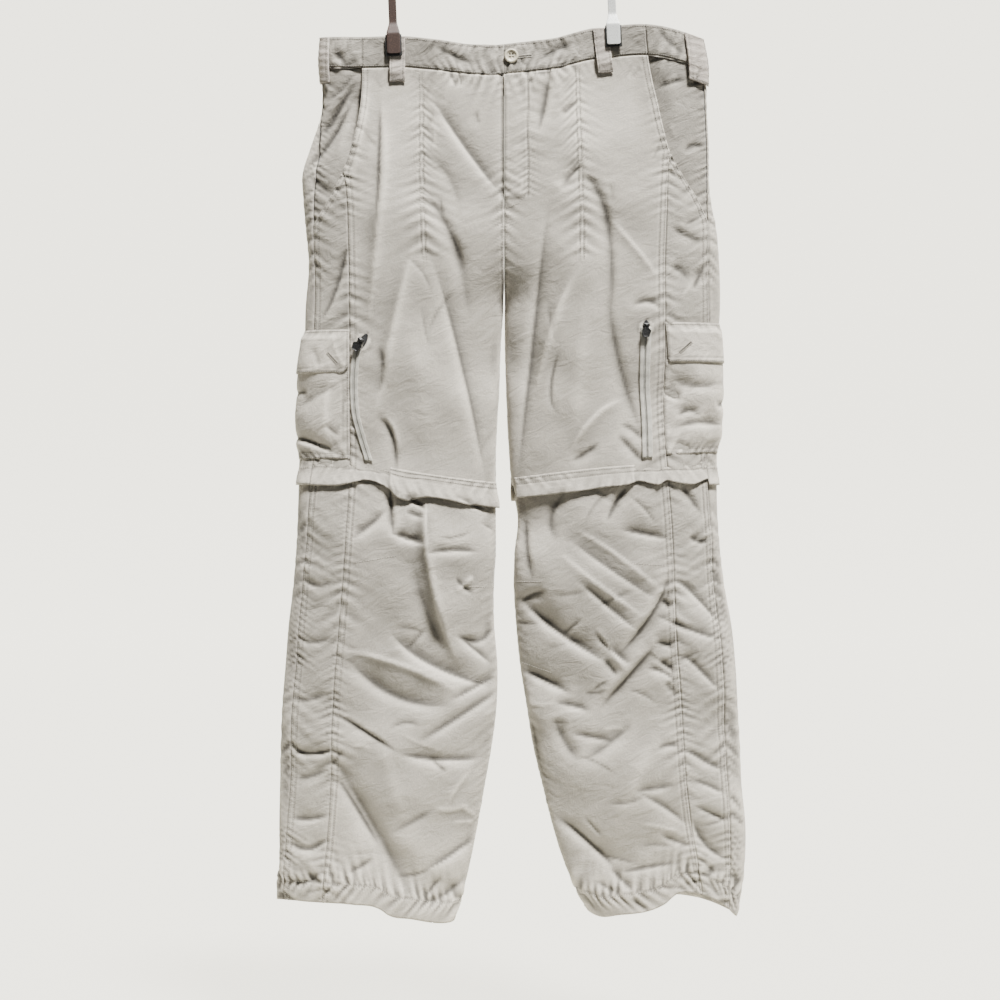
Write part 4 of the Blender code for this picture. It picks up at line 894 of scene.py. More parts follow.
# %% Nylon and tape materials
SHADE_POWER = 1.6
CRUMPLE_TURN = math.radians(-28)
CRUMPLE_STRETCH = (2.1, 1.0, 1.0)
THREAD_SCALE = 0.314
TONE = 0.7
GRAIN = 0.1


def spread_noise(tree, place, scale, detail, low, high):
    """Noise at a place, spread from low to high."""
    noise = add_node(tree, "ShaderNodeTexNoise", {"Vector": place, "Scale": scale, "Detail": detail})
    spread = {"Value": noise.outputs["Fac"], "From Min": 0.3, "From Max": 0.7, "To Min": low, "To Max": high}
    return add_node(tree, "ShaderNodeMapRange", spread).outputs["Result"]


def woven_bumps(tree, coords, weave, crumple):
    """The bump of crossed threads and of crumples that are stretched along one slant."""
    threads = []
    for direction in ("X", "Y"):
        wave = {"Vector": coords.outputs["UV"], "Scale": THREAD_SCALE / weave, "Distortion": 0.5}
        threads.append(add_node(tree, "ShaderNodeTexWave", wave, bands_direction=direction).outputs["Fac"])
    crossed = add_node(tree, "ShaderNodeMath", {0: threads[0], 1: threads[1]}, operation="MULTIPLY")
    fine = {"Strength": 0.12, "Distance": 0.0003, "Height": crossed.outputs[0]}
    woven = add_node(tree, "ShaderNodeBump", fine)
    stretched = add_node(
        tree, "ShaderNodeMapping",
        {"Vector": coords.outputs["Object"], "Rotation": (0.0, CRUMPLE_TURN, 0.0), "Scale": CRUMPLE_STRETCH},
        vector_type="TEXTURE",
    )
    noise = {"Scale": 62.0, "Detail": 5.0, "Roughness": 0.62, "Distortion": 0.6}
    noise["Vector"] = stretched.outputs["Vector"]
    folds = add_node(tree, "ShaderNodeTexNoise", noise, noise_type="FBM")
    crumpled = {"Strength": crumple, "Distance": 0.0075, "Height": folds.outputs["Fac"]}
    crumpled["Normal"] = woven.outputs["Normal"]
    return add_node(tree, "ShaderNodeBump", crumpled).outputs["Normal"]


def cloth_material(name, colour, dark, weave=0.0006, crumple=0.5):
    """Woven cloth: threads and crumples as bump, a slow change of tone, and painted shade in the hollows
    with painted highlight on the ridges.
    """
    material, tree, shader = new_material(name)
    coords = add_node(tree, "ShaderNodeTexCoord", {})
    place = coords.outputs["Object"]
    slow = spread_noise(tree, place, 9.0, 5.0, 0.5 - TONE / 2, 0.5 + TONE / 2)
    tone = add_node(
        tree, "ShaderNodeMix", {"Factor": slow, 6: (*dark, 1), 7: (*colour, 1)}, data_type="RGBA"
    )
    # The shade attribute darkens hollows as painted shade and lightens ridges as painted highlight; the
    # grain is the cloth's own fine tone.
    shade = add_node(tree, "ShaderNodeAttribute", {}, attribute_name="shade")
    hollow = add_node(tree, "ShaderNodeMath", {0: shade.outputs["Fac"], 1: SHADE_POWER}, operation="POWER")
    grain = spread_noise(tree, place, 520.0, 2.0, 1 - GRAIN, 1 + GRAIN)
    shaded = add_node(tree, "ShaderNodeMath", {0: hollow.outputs[0], 1: grain}, operation="MULTIPLY")
    tone_grain_and_painted_shade = add_node(
        tree, "ShaderNodeMix", {"Factor": 1.0, 6: tone.outputs[2], 7: shaded.outputs[0]},
        data_type="RGBA", blend_type="MULTIPLY",
    )
    feed(tree, shader, {
        "Roughness": 0.72, "Specular IOR Level": 0.3, "Sheen Weight": 0.2, "Sheen Roughness": 0.45,
        "Normal": woven_bumps(tree, coords, weave, crumple), "Base Color": tone_grain_and_painted_shade.outputs[2],
    })
    return material


NYLON = cloth_material("nylon", (0.505, 0.468, 0.40), (0.435, 0.402, 0.34), crumple=0.24)
# The cargo pockets' copy of the nylon is lighter: painted light where the pockets bulge towards the lamps.
POCKET_NYLON_PAINTED_LIGHT = cloth_material("nylon_cargo_pocket_painted_light", (0.57, 0.527, 0.45), (0.50, 0.462, 0.392), crumple=0.34)
# The sides' copy of the nylon is darker: painted shade where the sides turn away from the light.
SIDE_NYLON_PAINTED_SHADE = cloth_material("nylon_sides_painted_shade", (0.42, 0.39, 0.332), (0.355, 0.329, 0.279), crumple=0.36)
SHIN_NYLON = cloth_material("nylon_lower_leg", (0.435, 0.402, 0.342), (0.37, 0.342, 0.29), crumple=0.32)
BAND_NYLON = cloth_material("nylon_waistband", (0.335, 0.31, 0.263), (0.285, 0.264, 0.224), crumple=0.5)
LOOP_NYLON = cloth_material("nylon_loops", (0.50, 0.45, 0.39), (0.43, 0.385, 0.335), crumple=0.45)
# The facing's copy of the nylon is darker: painted shade inside the pocket's mouth.
FACING_NYLON_PAINTED_SHADE = cloth_material("nylon_facing_painted_shade", (0.335, 0.31, 0.263), (0.28, 0.259, 0.22), crumple=0.4)
TAPE = cloth_material("zip_tape", (0.56, 0.54, 0.47), (0.51, 0.49, 0.43), weave=0.0012, crumple=0.05)
print("cloth materials:", [material.name for material in (NYLON, SIDE_NYLON_PAINTED_SHADE, SHIN_NYLON, BAND_NYLON, TAPE)])


# %% [markdown]
# The seams divide each leg into a front, a narrow side and a back. Above the cargo pocket the side begins
# at the curved mouth of the hand pocket. Two stitched tucks run down from the waistband on the front, one
# on each side, and draw the cloth in on both sides of them. Short darts shape the knees.

# %% Edges of the panels
BAND_SEAM = 0.6
POCKET_TUCK = 0.10


def front_seam(leg):
    """The seam between front and side. It starts from the pocket mouth and eases into its own line."""
    start = MOUTH_SEAM[leg]
    jump = float(MOUTH[leg](start) - FRONT_SEAM[leg](start))

    def edge(drop):
        return angle_at(leg, FRONT_SEAM[leg](drop) + jump * math.exp(-max(drop - start, 0) / 22), drop)

    return edge


def side_seam(leg):
    """The seam between side and back."""
    return lambda drop: angle_at(leg, SIDE_SEAM[leg](drop), drop)


def mouth(leg):
    """The curved mouth of the hand pocket."""
    return lambda drop: angle_at(leg, MOUTH[leg](drop), drop)


def front_edge(leg):
    """The outer edge of the front: the pocket's mouth, then the front seam."""
    return lambda drop: mouth(leg)(drop) if drop < MOUTH_SEAM[leg] else front_seam(leg)(drop)


def side_edge(leg):
    """The back edge of the side: the pocket's mouth, then the side seam."""
    return lambda drop: mouth(leg)(drop) if drop < MOUTH_END[leg] else side_seam(leg)(drop)


def around(edge):
    """The same edge on the back of the ring."""
    return lambda drop: 2 * math.pi - edge(drop)


def inner_fold(drop):
    """The inner fold of a leg, where its ring starts."""
    return 0.0


# %% [markdown]
# The fronts carry more than their seams: the tucks, the J-shaped fly, a pocket mouth that gapes, and the
# rolled lips of the slit that a zip slider sits in. One function adds up their heights.

# %% Lines stitched into the fronts
TUCKS = {
    "right": smooth_curve([(40, -98), (120, -97), (220, -96), (305, -92)]),
    "left": smooth_curve([(38, 97), (120, 98), (220, 101), (300, 102)]),
}
TUCK_END = {"right": 300.0, "left": 296.0}
TUCK_ROWS = (-2.2, 2.2)
FLY_X = 35.0
FLY_DROP = 212.0
FLY_BEND = 190.0
GAPE = {"right": (64.0, 150.0, 5.0), "left": (60.0, 150.0, 1.6)}
CENTRE_X = 5.0
BAND_PUCKER = 0.65
DARTS = {
    "right": (((-182, 672), (-129, 663)), ((-39, 701), (-7, 703)), ((-30, 818), (-12, 822))),
    "left": (((159, 672), (205, 675)), ((19, 695), (50, 695)), ((27, 796), (64, 808))),
}
SEAM_SEED = {"inner": 11, "front": 12, "side": 24, "mouth": 37}
cloths = {}


def open_at(leg, drop):
    """How far the hand pocket's mouth gapes at a drop, from 0 to 1."""
    top, bottom, _ = GAPE[leg]
    return fade(top - 12, top + 18, drop) * (1 - fade(bottom - 25, bottom + 15, drop))


# The slit that a slider sits in: its middle, half length, half width and turn in degrees.
GARAGE = {"right": (-170.0, 399.0, 12.5, 4.6, -30.0), "left": (180.5, 381.0, 9.5, 4.4, 0.0)}


def garage_place(leg, x, drop):
    """Where a point lies in the zip's garage: along its slit and across it, each 1 at its edge."""
    middle_x, middle_drop, half_long, half_wide, turn = GARAGE[leg]
    c, s = math.cos(math.radians(turn)), math.sin(math.radians(turn))
    dx, dy = x - middle_x, drop - middle_drop
    along = (dy * c + dx * s) / half_long
    wide = half_wide * np.clip(1 - np.abs(along) ** 2.2, 0.02, 1) ** 0.7
    return along, (dx * c - dy * s) / wide


def garage_lip(leg, x, drop):
    """The rolled lip of cloth round the slit that the slider sits in."""
    along, across = garage_place(leg, x, drop)
    near = 1 - fade(0.95, 1.35, np.abs(along))
    lip, slit = np.exp(-(((np.abs(across) - 1.55) / 0.5) ** 2)), np.exp(-((across / 0.9) ** 2))
    return near * (1.5 * lip - 0.9 * slit)


def front_relief(leg):
    """Puckers and needle rows of a thigh's front: centre seam, outer seam, tuck, fly and pocket mouth."""
    high = GAPE[leg][2]

    def relief(x, drop, from_start, from_end):
        seam = fade(CROTCH_DROP - 30, CROTCH_DROP + 30, drop)
        height = pucker(from_start, drop, 0.45, 11) * (1 - 0.8 * seam) + needle_rows(from_start, (2.0,))
        height = height + pucker(from_end, drop, 0.55, SEAM_SEED["front"]) + needle_rows(from_end, TWIN)
        beside = x - TUCKS[leg](drop)
        here = fade(BAND_HEIGHT, 60, drop) * (1 - fade(TUCK_END[leg] - 8, TUCK_END[leg] + 4, drop))
        height = height + here * (pucker(beside, drop, 0.75, 13) + needle_rows(beside, TUCK_ROWS, 0.7))
        height = height + high * open_at(leg, drop) * np.exp(-((from_end / 17) ** 2))
        height = height + pucker(drop - BAND_HEIGHT, np.abs(x - CENTRE_X), BAND_PUCKER, 71)
        height = height + garage_lip(leg, x, drop)
        on_fly = 1 - fade(FLY_DROP - 6, FLY_DROP + 2, drop)
        if leg == "left":
            lap = 2.0 * np.exp(-((from_start / 24) ** 4))
            height = height + on_fly * (lap + needle_rows(x - FLY_X, (0,), 0.8))
            height = height + on_fly * pucker(x - FLY_X, drop, 0.5, 14)
        else:
            height = height - 1.1 * on_fly * np.exp(-((from_start / 6) ** 2))
        return height * (1 - 0.8 * pinch(x, drop)) * (1 - 0.2 * seam)

    return relief


def seam_relief(strengths, seams, rows_at, hem=False):
    """Puckers and needle rows along both seams of a panel, and along its hem. Both sides match."""
    hem_seed = 62 + len(seams[0])

    def relief(x, drop, from_start, from_end):
        height = pucker(from_start, drop, strengths[0], SEAM_SEED[seams[0]])
        height = height + pucker(from_end, drop, strengths[1], SEAM_SEED[seams[1]])
        height = height + needle_rows(from_start, rows_at[0]) + needle_rows(from_end, rows_at[1])
        if hem:
            above = drop - (HEM_DROP - HEM_HEIGHT + 3)
            height = height + pucker(above, from_start, 1.1, hem_seed) + needle_rows(above, (0,), 0.8)
        return height

    return relief


# %% [markdown]
# Where the pocket's mouth gapes, the facing shows inside it. It starts behind the edge of the front, and
# it lies deepest where the mouth gapes most.

# %% The facing inside the pocket's mouth
def facing_edge(leg):
    """The facing starts a little way behind the front panel."""
    return lambda drop: mouth(leg)(min(drop, MOUTH_END[leg] - 5)) - POCKET_TUCK


def facing_lift(leg):
    """The facing lies inside the front panel, deepest where the mouth gapes."""

    def lift(share, drop):
        inside = (2.2 + 2.0 * GAPE[leg][2] * open_at(leg, drop)) * (1 - fade(0.10, 0.55, share))
        return -CLOTH - 0.5 - inside

    return lift


# %% Thigh panels
for leg in SIGN:
    top = BAND_HEIGHT + BAND_SEAM
    cloths["front_thigh_" + leg] = panel(
        leg, crotch_angle, front_edge(leg), top, KNEE_CUT, relief=front_relief(leg)
    )
    cloths["side_thigh_" + leg] = panel(
        leg, front_seam(leg), side_edge(leg), MOUTH_SEAM[leg] + 4, KNEE_CUT,
        relief=seam_relief((0.55, 0.6), ("front", "side"), ((), TWIN)),
    )
    cloths["back_thigh_" + leg] = panel(
        leg, side_seam(leg), around(crotch_angle), top, KNEE_CUT, step=BACK_STEP,
        relief=seam_relief((0.6, 0.3), ("side", "inner"), ((), (2.0,))),
    )
    cloths["pocket_facing_" + leg] = panel(
        leg, facing_edge(leg), side_seam(leg), top, MOUTH_END[leg] + 8, lift=facing_lift(leg),
        relief=seam_relief((0, 0.6), ("mouth", "side"), ((), ())),
    )
    for kind in ("front_thigh", "side_thigh", "back_thigh"):
        cloths[f"{kind}_{leg}"].build(f"{kind}_{leg}", 1.1, SIDE_NYLON_PAINTED_SHADE if kind == "side_thigh" else NYLON)
    cloths["pocket_facing_" + leg].build("pocket_facing_" + leg, 1.1, FACING_NYLON_PAINTED_SHADE)
print("thigh panels done")

# %% Lower leg panels
SEAM_EDGES = {
    "inner": lambda leg: inner_fold, "front": front_seam, "side": side_seam,
    "inner_behind": lambda leg: around(inner_fold),
}
for leg in SIGN:
    for kind, start, end, strengths, rows_at, step in (
        ("front_shin", "inner", "front", (0.35, 0.62), ((), TWIN), STEP),
        ("side_shin", "front", "side", (0.62, 0.62), ((), TWIN), STEP),
        ("back_shin", "side", "inner_behind", (0.62, 0.35), ((), ()), BACK_STEP),
    ):
        name = f"{kind}_{leg}"
        seams = (start, end.removesuffix("_behind"))
        cloths[name] = panel(
            leg, SEAM_EDGES[start](leg), SEAM_EDGES[end](leg), SHIN_START, HEM_DROP,
            relief=seam_relief(strengths, seams, rows_at, True), step=step,
        )
        cloths[name].build(name, 1.2, SIDE_NYLON_PAINTED_SHADE if kind == "side_shin" else SHIN_NYLON)
print("lower legs done")

# %% [markdown]
# The waistband is a doubled strip, cut in a front and a back length that meet above the pocket mouth. It
# is stitched close to both edges. The belt loops are narrow strips folded in three, sewn down at both
# ends.


# %% Waistband
def band_relief(x, drop, from_start, from_end):
    """Needle rows near the edges of the waistband, with small puckers from its top and its bottom."""
    rows = needle_rows(drop, (3.0,), 0.35) + needle_rows(BAND_HEIGHT - drop, (2.2,), 0.4)
    puckers = pucker(BAND_HEIGHT - drop, np.abs(x - CENTRE_X), BAND_PUCKER, 71)
    puckers = puckers + pucker(drop, from_start, 0.7, 72)
    return (rows + puckers + needle_rows(from_end, (1.8,), 0.4)) * (1 - 0.9 * pinch(x, drop))


def band_lift(share, drop):
    """The band stands off the panels, less at its sewn lower edge."""
    return BAND_OUT - 0.7 * fade(BAND_HEIGHT - 6, BAND_HEIGHT, drop)


BAND_THICK = 2.0
for leg in SIGN:
    cloths["waistband_front_" + leg] = panel(
        leg, crotch_angle, front_edge(leg), 0, BAND_HEIGHT, lift=band_lift, relief=band_relief, step=2.0
    )
    cloths["waistband_back_" + leg] = panel(
        leg, mouth(leg), around(crotch_angle), 0, BAND_HEIGHT, lift=band_lift, relief=band_relief, step=3.0
    )
    for kind in ("waistband_front", "waistband_back"):
        cloths[f"{kind}_{leg}"].build(f"{kind}_{leg}", BAND_THICK, BAND_NYLON)

# %% Belt loops
LOOP_THICK = 1.5
LOOP_HEIGHT = 57.0
LOOP_HALF = 9.5
LOOP_SLACK = 2.4
STRIP_LIFT = 0.6
LOOP_X = {"right": (-128.0, -128.0), "left": (125.0, 132.0)}
SIDE_LOOP_ANGLE = {"right": math.pi - 0.10, "left": math.pi - 0.22}
SIDE_LOOP_SPREAD = 0.42
SIDE_LOOP_SLACK = 1.6


def loop_bumps(across, down):
    """The folded edges of a loop stand up a little, and its two bar tacks pull it down."""
    from_middle = np.abs(2 * across - 1)
    rim = 0.25 * from_middle**6 - 0.3 * np.exp(-(((from_middle - 0.72) / 0.08) ** 2))
    tack = np.exp(-(((down - 0.96) / 0.03) ** 2)) + np.exp(-(((down - 0.03) / 0.03) ** 2))
    return rim - 0.35 * tack + 0.18 * np.sin(down * 40 + 3 * across)


def loop_lift(across, down, slack):
    """How far a loop's outer face stands off the garment."""
    return BAND_OUT + STRIP_LIFT + LOOP_THICK + slack + loop_bumps(across, down)


def front_loop(leg):
    """A loop in front, beside the clip. Its lower half stands off."""

    def place(across, down):
        x0, x1 = LOOP_X[leg]
        x = x0 + (x1 - x0) * down + (across - 0.5) * 2 * LOOP_HALF
        drop = 0.6 + LOOP_HEIGHT * down
        slack = LOOP_SLACK * np.sin(np.pi * np.clip((down - 0.5) / 0.5, 0, 1)) ** 2
        return cloth_point(leg, angle_at(leg, x, drop), drop, loop_lift(across, down, slack))

    return place


def side_loop(leg):
    """A loop at the side, bent round the fold of the waistband."""

    def place(across, down):
        turn = SIDE_LOOP_ANGLE[leg] + (across - 0.5) * SIDE_LOOP_SPREAD
        slack = SIDE_LOOP_SLACK * np.sin(np.pi * down) ** 2
        return cloth_point(leg, turn, 0.6 + LOOP_HEIGHT * down, loop_lift(across, down, slack))

    return place


def back_loop(across, down):
    """The loop at the centre back, half of it on each side of the seam."""
    x = CENTRE_X + (across - 0.5) * 2 * LOOP_HALF
    drop = 0.6 + LOOP_HEIGHT * down
    lift = loop_lift(across, down, SIDE_LOOP_SLACK * np.sin(np.pi * down) ** 2)
    sides = {leg: cloth_point(leg, 2 * math.pi - angle_at(leg, x, drop), drop, lift) for leg in SIGN}
    left_side = (x >= CENTRE_X)[..., None]
    points, normals = (np.where(left_side, sides["left"][k], sides["right"][k]) for k in (0, 1))
    return points, normals, np.where(left_side[..., 0], sides["left"][2], sides["right"][2])


# %% Five belt loops
loops = {"belt_loop_back": back_loop}
for leg in SIGN:
    loops["belt_loop_front_" + leg] = front_loop(leg)
    loops["belt_loop_side_" + leg] = side_loop(leg)
for name, place in loops.items():
    cloths[name] = patch(place, 16, 40)
    cloths[name].build(name, 1.3, LOOP_NYLON)
print("waistband and", len(loops), "belt loops done")

# %% [markdown]
# A storm flap hides the zip that joins the two halves of each leg. It is stitched along its top edge and
# stands off the leg below, so it throws a shadow line round the knee. Its front and side lengths overlap
# at a small step.

# %% Knee flaps
KNEE_TOP = 546.0
KNEE_BOTTOM = 575.0
KNEE_BAND_LIFT = 3.2
KNEE_STEP_X = {"right": -136.0, "left": 166.0}
KNEE_OPEN_SHARE = {"right": 0.0, "left": 0.12}


def knee_lift(share, drop):
    """The flap is sewn down along its top and stands off below."""
    return SEAM_GAP + 0.3 + (KNEE_BAND_LIFT + 0.9) * fade(KNEE_TOP + 1, KNEE_BOTTOM, drop)


def knee_relief(leg):
    """Needle rows at the top of the flap, and the small step where its two lengths overlap."""

    def relief(x, drop, from_start, from_end):
        down = drop - KNEE_TOP
        height = needle_rows(down, (2.5, 8.0), 0.4) + pucker(down, from_start, 0.32, 81)
        height = height + pucker(KNEE_BOTTOM - drop, from_start, 0.22, 83)
        step = fade(KNEE_STEP_X[leg] - 1.5, KNEE_STEP_X[leg] + 1.5, x)
        return height - 0.9 * (step if leg == "left" else 1 - step)

    return relief


KNEE_SAG = {
    "right": smooth_curve((
        (-252, -1), (-226, 1), (-195, 0), (-179, -5), (-167, -9), (-149, -7), (-137, -1), (-132, 4),
        (-86, 0), (-34, 3), (-5, 4),
    )),
    "left": smooth_curve((
        (20, -3), (87, -2), (131, -4), (162, -6), (170, -9), (186, -5), (196, -3), (205, -8), (216, -5),
        (240, -2), (256, -8), (274, -6),
    )),
}


def knee_start(leg):
    """The left flap starts a little way round from the inseam, where the zip's end shows."""
    return lambda drop: KNEE_OPEN_SHARE[leg] * front_seam(leg)(drop)


for leg in SIGN:
    cloths["knee_flap_front_" + leg] = panel(
        leg, knee_start(leg), side_seam(leg), KNEE_TOP, KNEE_BOTTOM, lift=knee_lift,
        relief=knee_relief(leg), step=2.2, sag=KNEE_SAG[leg],
    )
    cloths["knee_flap_back_" + leg] = panel(
        leg, side_seam(leg), around(inner_fold), KNEE_TOP, KNEE_BOTTOM, lift=knee_lift,
        relief=knee_relief(leg), step=3.2,
    )
    for kind in ("knee_flap_front", "knee_flap_back"):
        cloths[f"{kind}_{leg}"].build(f"{kind}_{leg}", 1.1, NYLON)
    cloths["knee_zip_" + leg] = panel(
        leg, inner_fold, around(inner_fold), KNEE_TOP, KNEE_BOTTOM, lift=-CLOTH - 0.5, step=4.0
    )
    cloths["knee_zip_" + leg].build("knee_zip_" + leg, 0.9, TAPE, slot="zip_tape")

# %% [markdown]
# The cargo pocket is a bellows: its body stands off the thigh and sags a little at the bottom. The flap
# is sewn along its top and covers the mouth. Both carry their own soft creases on top of the leg's form.

# %% Cargo pockets
CARGO_TOP = {"right": 383.0, "left": 374.0}
CARGO_MOUTH = {"right": 396.0, "left": 388.0}
FLAP_BOTTOM = {"right": 437.0, "left": 423.0}
CARGO_BOTTOM = {"right": 543.0, "left": 535.0}
CARGO_BULGE = 6.5
CARGO_CREASE_START = 195.0
BACK_COLUMNS = 9
CARGO_BACK_COLUMNS = 4
TURN_WEIGHT = 22.0
CARGO_CREASES = {
    "right": (
        (-259, 515, -230, 524, -203, 536, 6, -4.0, -0.5), (-248, 480, -222, 462, -200, 452, 12, -2.4, -0.3),
        (-206, 440, -214, 480, -210, 530, 12, 1.8, 0.0), (-254, 462, -246, 461, -237, 459, 4, -1.8, 0.0),
        (-214, 500, -206, 508, -198, 514, 5, -1.6, 0.0), (-232, 404, -224, 416, -220, 430, 6, -1.2, 0.0),
    ),
    "left": (
        (203, 454, 213, 462, 224, 468, 6, -3.2, -0.4), (210, 440, 240, 452, 274, 446, 10, -2.6, -0.3),
        (221, 488, 234, 482, 246, 488, 6, -2.6, -0.3), (216, 502, 244, 497, 275, 500, 7, -3.0, -0.4),
        (266, 477, 272, 474, 279, 471, 5, -2.4, 0.0), (217, 522, 226, 526, 236, 530, 6, -1.8, 0.0),
    ),
}


# %% Lift and relief of the cargo pockets
def cargo_end(leg):
    """The back edge of the cargo pocket, four of the nine model columns round the back."""

    def edge(drop):
        turns = np.linspace(float(side_seam(leg)(drop)), float(around(crotch_angle)(drop)), 81)
        strides = np.diff(bare_ring(leg, turns, drop), axis=0)
        lengths = np.linalg.norm(strides, axis=1)
        heading = np.unwrap(np.arctan2(strides[:, 1], strides[:, 0]))
        measure = np.concatenate(((0,), np.cumsum(lengths + TURN_WEIGHT * np.abs(np.gradient(heading)))))
        return float(np.interp(measure[-1] * CARGO_BACK_COLUMNS / BACK_COLUMNS, measure, turns))

    return edge


def cargo_lift(leg):
    """How far the pocket's body stands off the leg."""

    def lift(share, drop):
        t = np.clip((drop - CARGO_MOUTH[leg]) / (CARGO_BOTTOM[leg] - CARGO_MOUTH[leg]), 0, 1)
        round_edges = fade(0, 0.28, share) * (1 - fade(0.72, 1, share))
        swell = round_edges * (0.3 + 0.7 * np.sin(np.pi * t) ** 0.8) * (1 - fade(0.85, 1, t))
        return SEAM_GAP + 0.5 + (CARGO_BULGE + 0.7) * swell

    return lift


def flap_lift(leg):
    """The flap climbs from its seam onto the pocket's body."""

    def lift(share, drop):
        climb = fade(CARGO_TOP[leg], CARGO_MOUTH[leg] - 1, drop)
        return SEAM_GAP + (cargo_lift(leg)(share, drop) + 1.6 - SEAM_GAP) * climb + 0.5

    return lift


def cargo_relief(leg, top, bottom, strength):
    """Puckers near the edges of a pocket piece, and the creases of the pocket."""

    def relief(x, drop, from_start, from_end):
        above = bottom - drop
        height = crease_height(CARGO_CREASES[leg], x, drop) * (x * SIGN[leg] > CARGO_CREASE_START)
        height = height + strength * (pucker(from_start, drop, 0.5, 91) + pucker(above, from_start, 0.5, 92))
        height = height + needle_rows(from_start, (2.0,), 0.35) + needle_rows(above, (2.2, 7.0), 0.35)
        return height + pucker(drop - top, from_start, 0.25, 93)

    return relief


# %% Pocket bodies and flaps
FLAP_CORNER = {"right": 15.0, "left": 3.0}
FLAP_SLANT = {"right": 0.0, "left": 4.0}


def flap_front(leg):
    """The front edge of the flap: down the seam, then round the corner."""

    def edge(drop):
        low = FLAP_BOTTOM[leg] - FLAP_CORNER[leg]
        inside = FLAP_CORNER[leg] - math.sqrt(max(FLAP_CORNER[leg] ** 2 - max(drop - low, 0) ** 2, 0))
        slant = FLAP_SLANT[leg] * (drop - CARGO_TOP[leg]) / (FLAP_BOTTOM[leg] - CARGO_TOP[leg])
        return angle_at(leg, FRONT_SEAM[leg](drop) + SIGN[leg] * (0.8 * inside + slant), drop)

    return edge


for leg in SIGN:
    cloths["cargo_pocket_" + leg] = panel(
        leg, front_seam(leg), cargo_end(leg), CARGO_MOUTH[leg], CARGO_BOTTOM[leg], lift=cargo_lift(leg),
        relief=cargo_relief(leg, CARGO_MOUTH[leg], CARGO_BOTTOM[leg], 0.8),
    )
    cloths["cargo_flap_" + leg] = panel(
        leg, flap_front(leg), cargo_end(leg), CARGO_TOP[leg], FLAP_BOTTOM[leg], lift=flap_lift(leg),
        relief=cargo_relief(leg, CARGO_TOP[leg], FLAP_BOTTOM[leg], 0.35), step=2.2,
    )
    for kind in ("cargo_pocket", "cargo_flap"):
        cloths[f"{kind}_{leg}"].build(f"{kind}_{leg}", 1.1, POCKET_NYLON_PAINTED_LIGHT)
print("knee flaps and cargo pockets done")

# %% [markdown]
# The thigh zip is two woven tapes that meet at a coil. The tape here is one strip with the coil's groove
# pressed into its middle, and the coil's teeth lie in the groove.

# %% Thigh zips
THIGH_ZIP = {
    "right": ((390, -169), (403, -174), (441, -180), (464, -180), (487, -178), (510, -172), (542, -162)),
    "left": ((372, 180), (388, 180), (418, 179), (452, 179), (487, 181), (538, 182)),
}
ZIP_HALF = {"right": 4.8, "left": 6.4}
ZIP_LIFT = 0.9
ZIP_THICK = 0.8
ZIP_HIDDEN = 8.0


def zip_place(leg):
    """The zip's tape runs down its path, with the groove of the coil along its middle."""
    path = smooth_curve(THIGH_ZIP[leg])
    first, last = THIGH_ZIP[leg][0][0] + ZIP_HIDDEN, THIGH_ZIP[leg][-1][0]

    def place(across, down):
        drop = first + (last - first) * down
        x = path(drop) + (across - 0.5) * 2 * ZIP_HALF[leg]
        groove = -0.5 * np.exp(-(((across - 0.5) * 2 * ZIP_HALF[leg] / 1.3) ** 2))
        ribs = 0.15 * np.sin(down * 60)
        return cloth_point(leg, angle_at(leg, x, drop), drop, ZIP_LIFT + ZIP_THICK + groove + ribs)

    return place


for leg in SIGN:
    cloths["thigh_zip_" + leg] = patch(zip_place(leg), 12, 80)
    cloths["thigh_zip_" + leg].build("thigh_zip_" + leg, 0.7, TAPE, slot="zip_tape")

# %% [markdown]
# Behind the fly a facing lies on the inside of the left front, held by the J-shaped row of stitches. Only
# its form shows, as a slight step, so it is one plain strip.


# %% Fly facing
def fly_edge(drop):
    """The outer edge of the facing, just outside the stitches."""
    return angle_at("left", FLY_X + 2, drop)


cloths["fly_facing"] = panel(
    "left", crotch_angle, fly_edge, BAND_HEIGHT + BAND_SEAM, FLY_DROP, lift=-CLOTH - 0.4, step=4.0
)
cloths["fly_facing"].build("fly_facing", 1.1, NYLON)
print("all", len(cloths), "pieces of cloth, width by length in mm:", sheet_table)

# %% [markdown]
# Stitches are laid along the kept grids. Each one is a small bead pulled long, copied from one template
# and turned to follow its row, and they are joined into one piece for each leg so that thousands of them
# stay light.

# %% Rows of stitches
STITCH_PITCH = 3.1
STITCH_LONG = 2.3
STITCH_WIDE = 0.65
HOLE_LONG = 1.2
HOLE_WIDE = 0.85
beads = {"right": [], "left": [], "middle": [], "holes": [], "teeth": [], "coil": []}


def lay_beads(
    store, points, normals, pitch=STITCH_PITCH, long=STITCH_LONG, wide=STITCH_WIDE, out=0.06, shift=0.0,
    crosswise=False,
):
    """Spreads beads along a line of points, one for each pitch, lengthwise or crosswise to it."""
    strides = np.linalg.norm(np.diff(points, axis=0), axis=1)
    travelled = np.concatenate(((0,), np.cumsum(strides)))
    count = int(travelled[-1] / pitch)
    if count < 1:
        return
    middles = (np.arange(count) + 0.5 + shift) * travelled[-1] / count

    def read(grid, at):
        return np.stack([np.interp(at, travelled, grid[:, k]) for k in range(3)], -1)

    along = read(points, middles + 0.6) - read(points, middles - 0.6)
    along /= np.linalg.norm(along, axis=1, keepdims=True) + 1e-9
    up = read(normals, middles)
    up /= np.linalg.norm(up, axis=1, keepdims=True)
    across = np.cross(up, along)
    if crosswise:
        along, across = across, along
    middle = read(points, middles) + up * out
    beads[store].append((middle, along * long / 2, across * wide / 2, up * wide / 2))


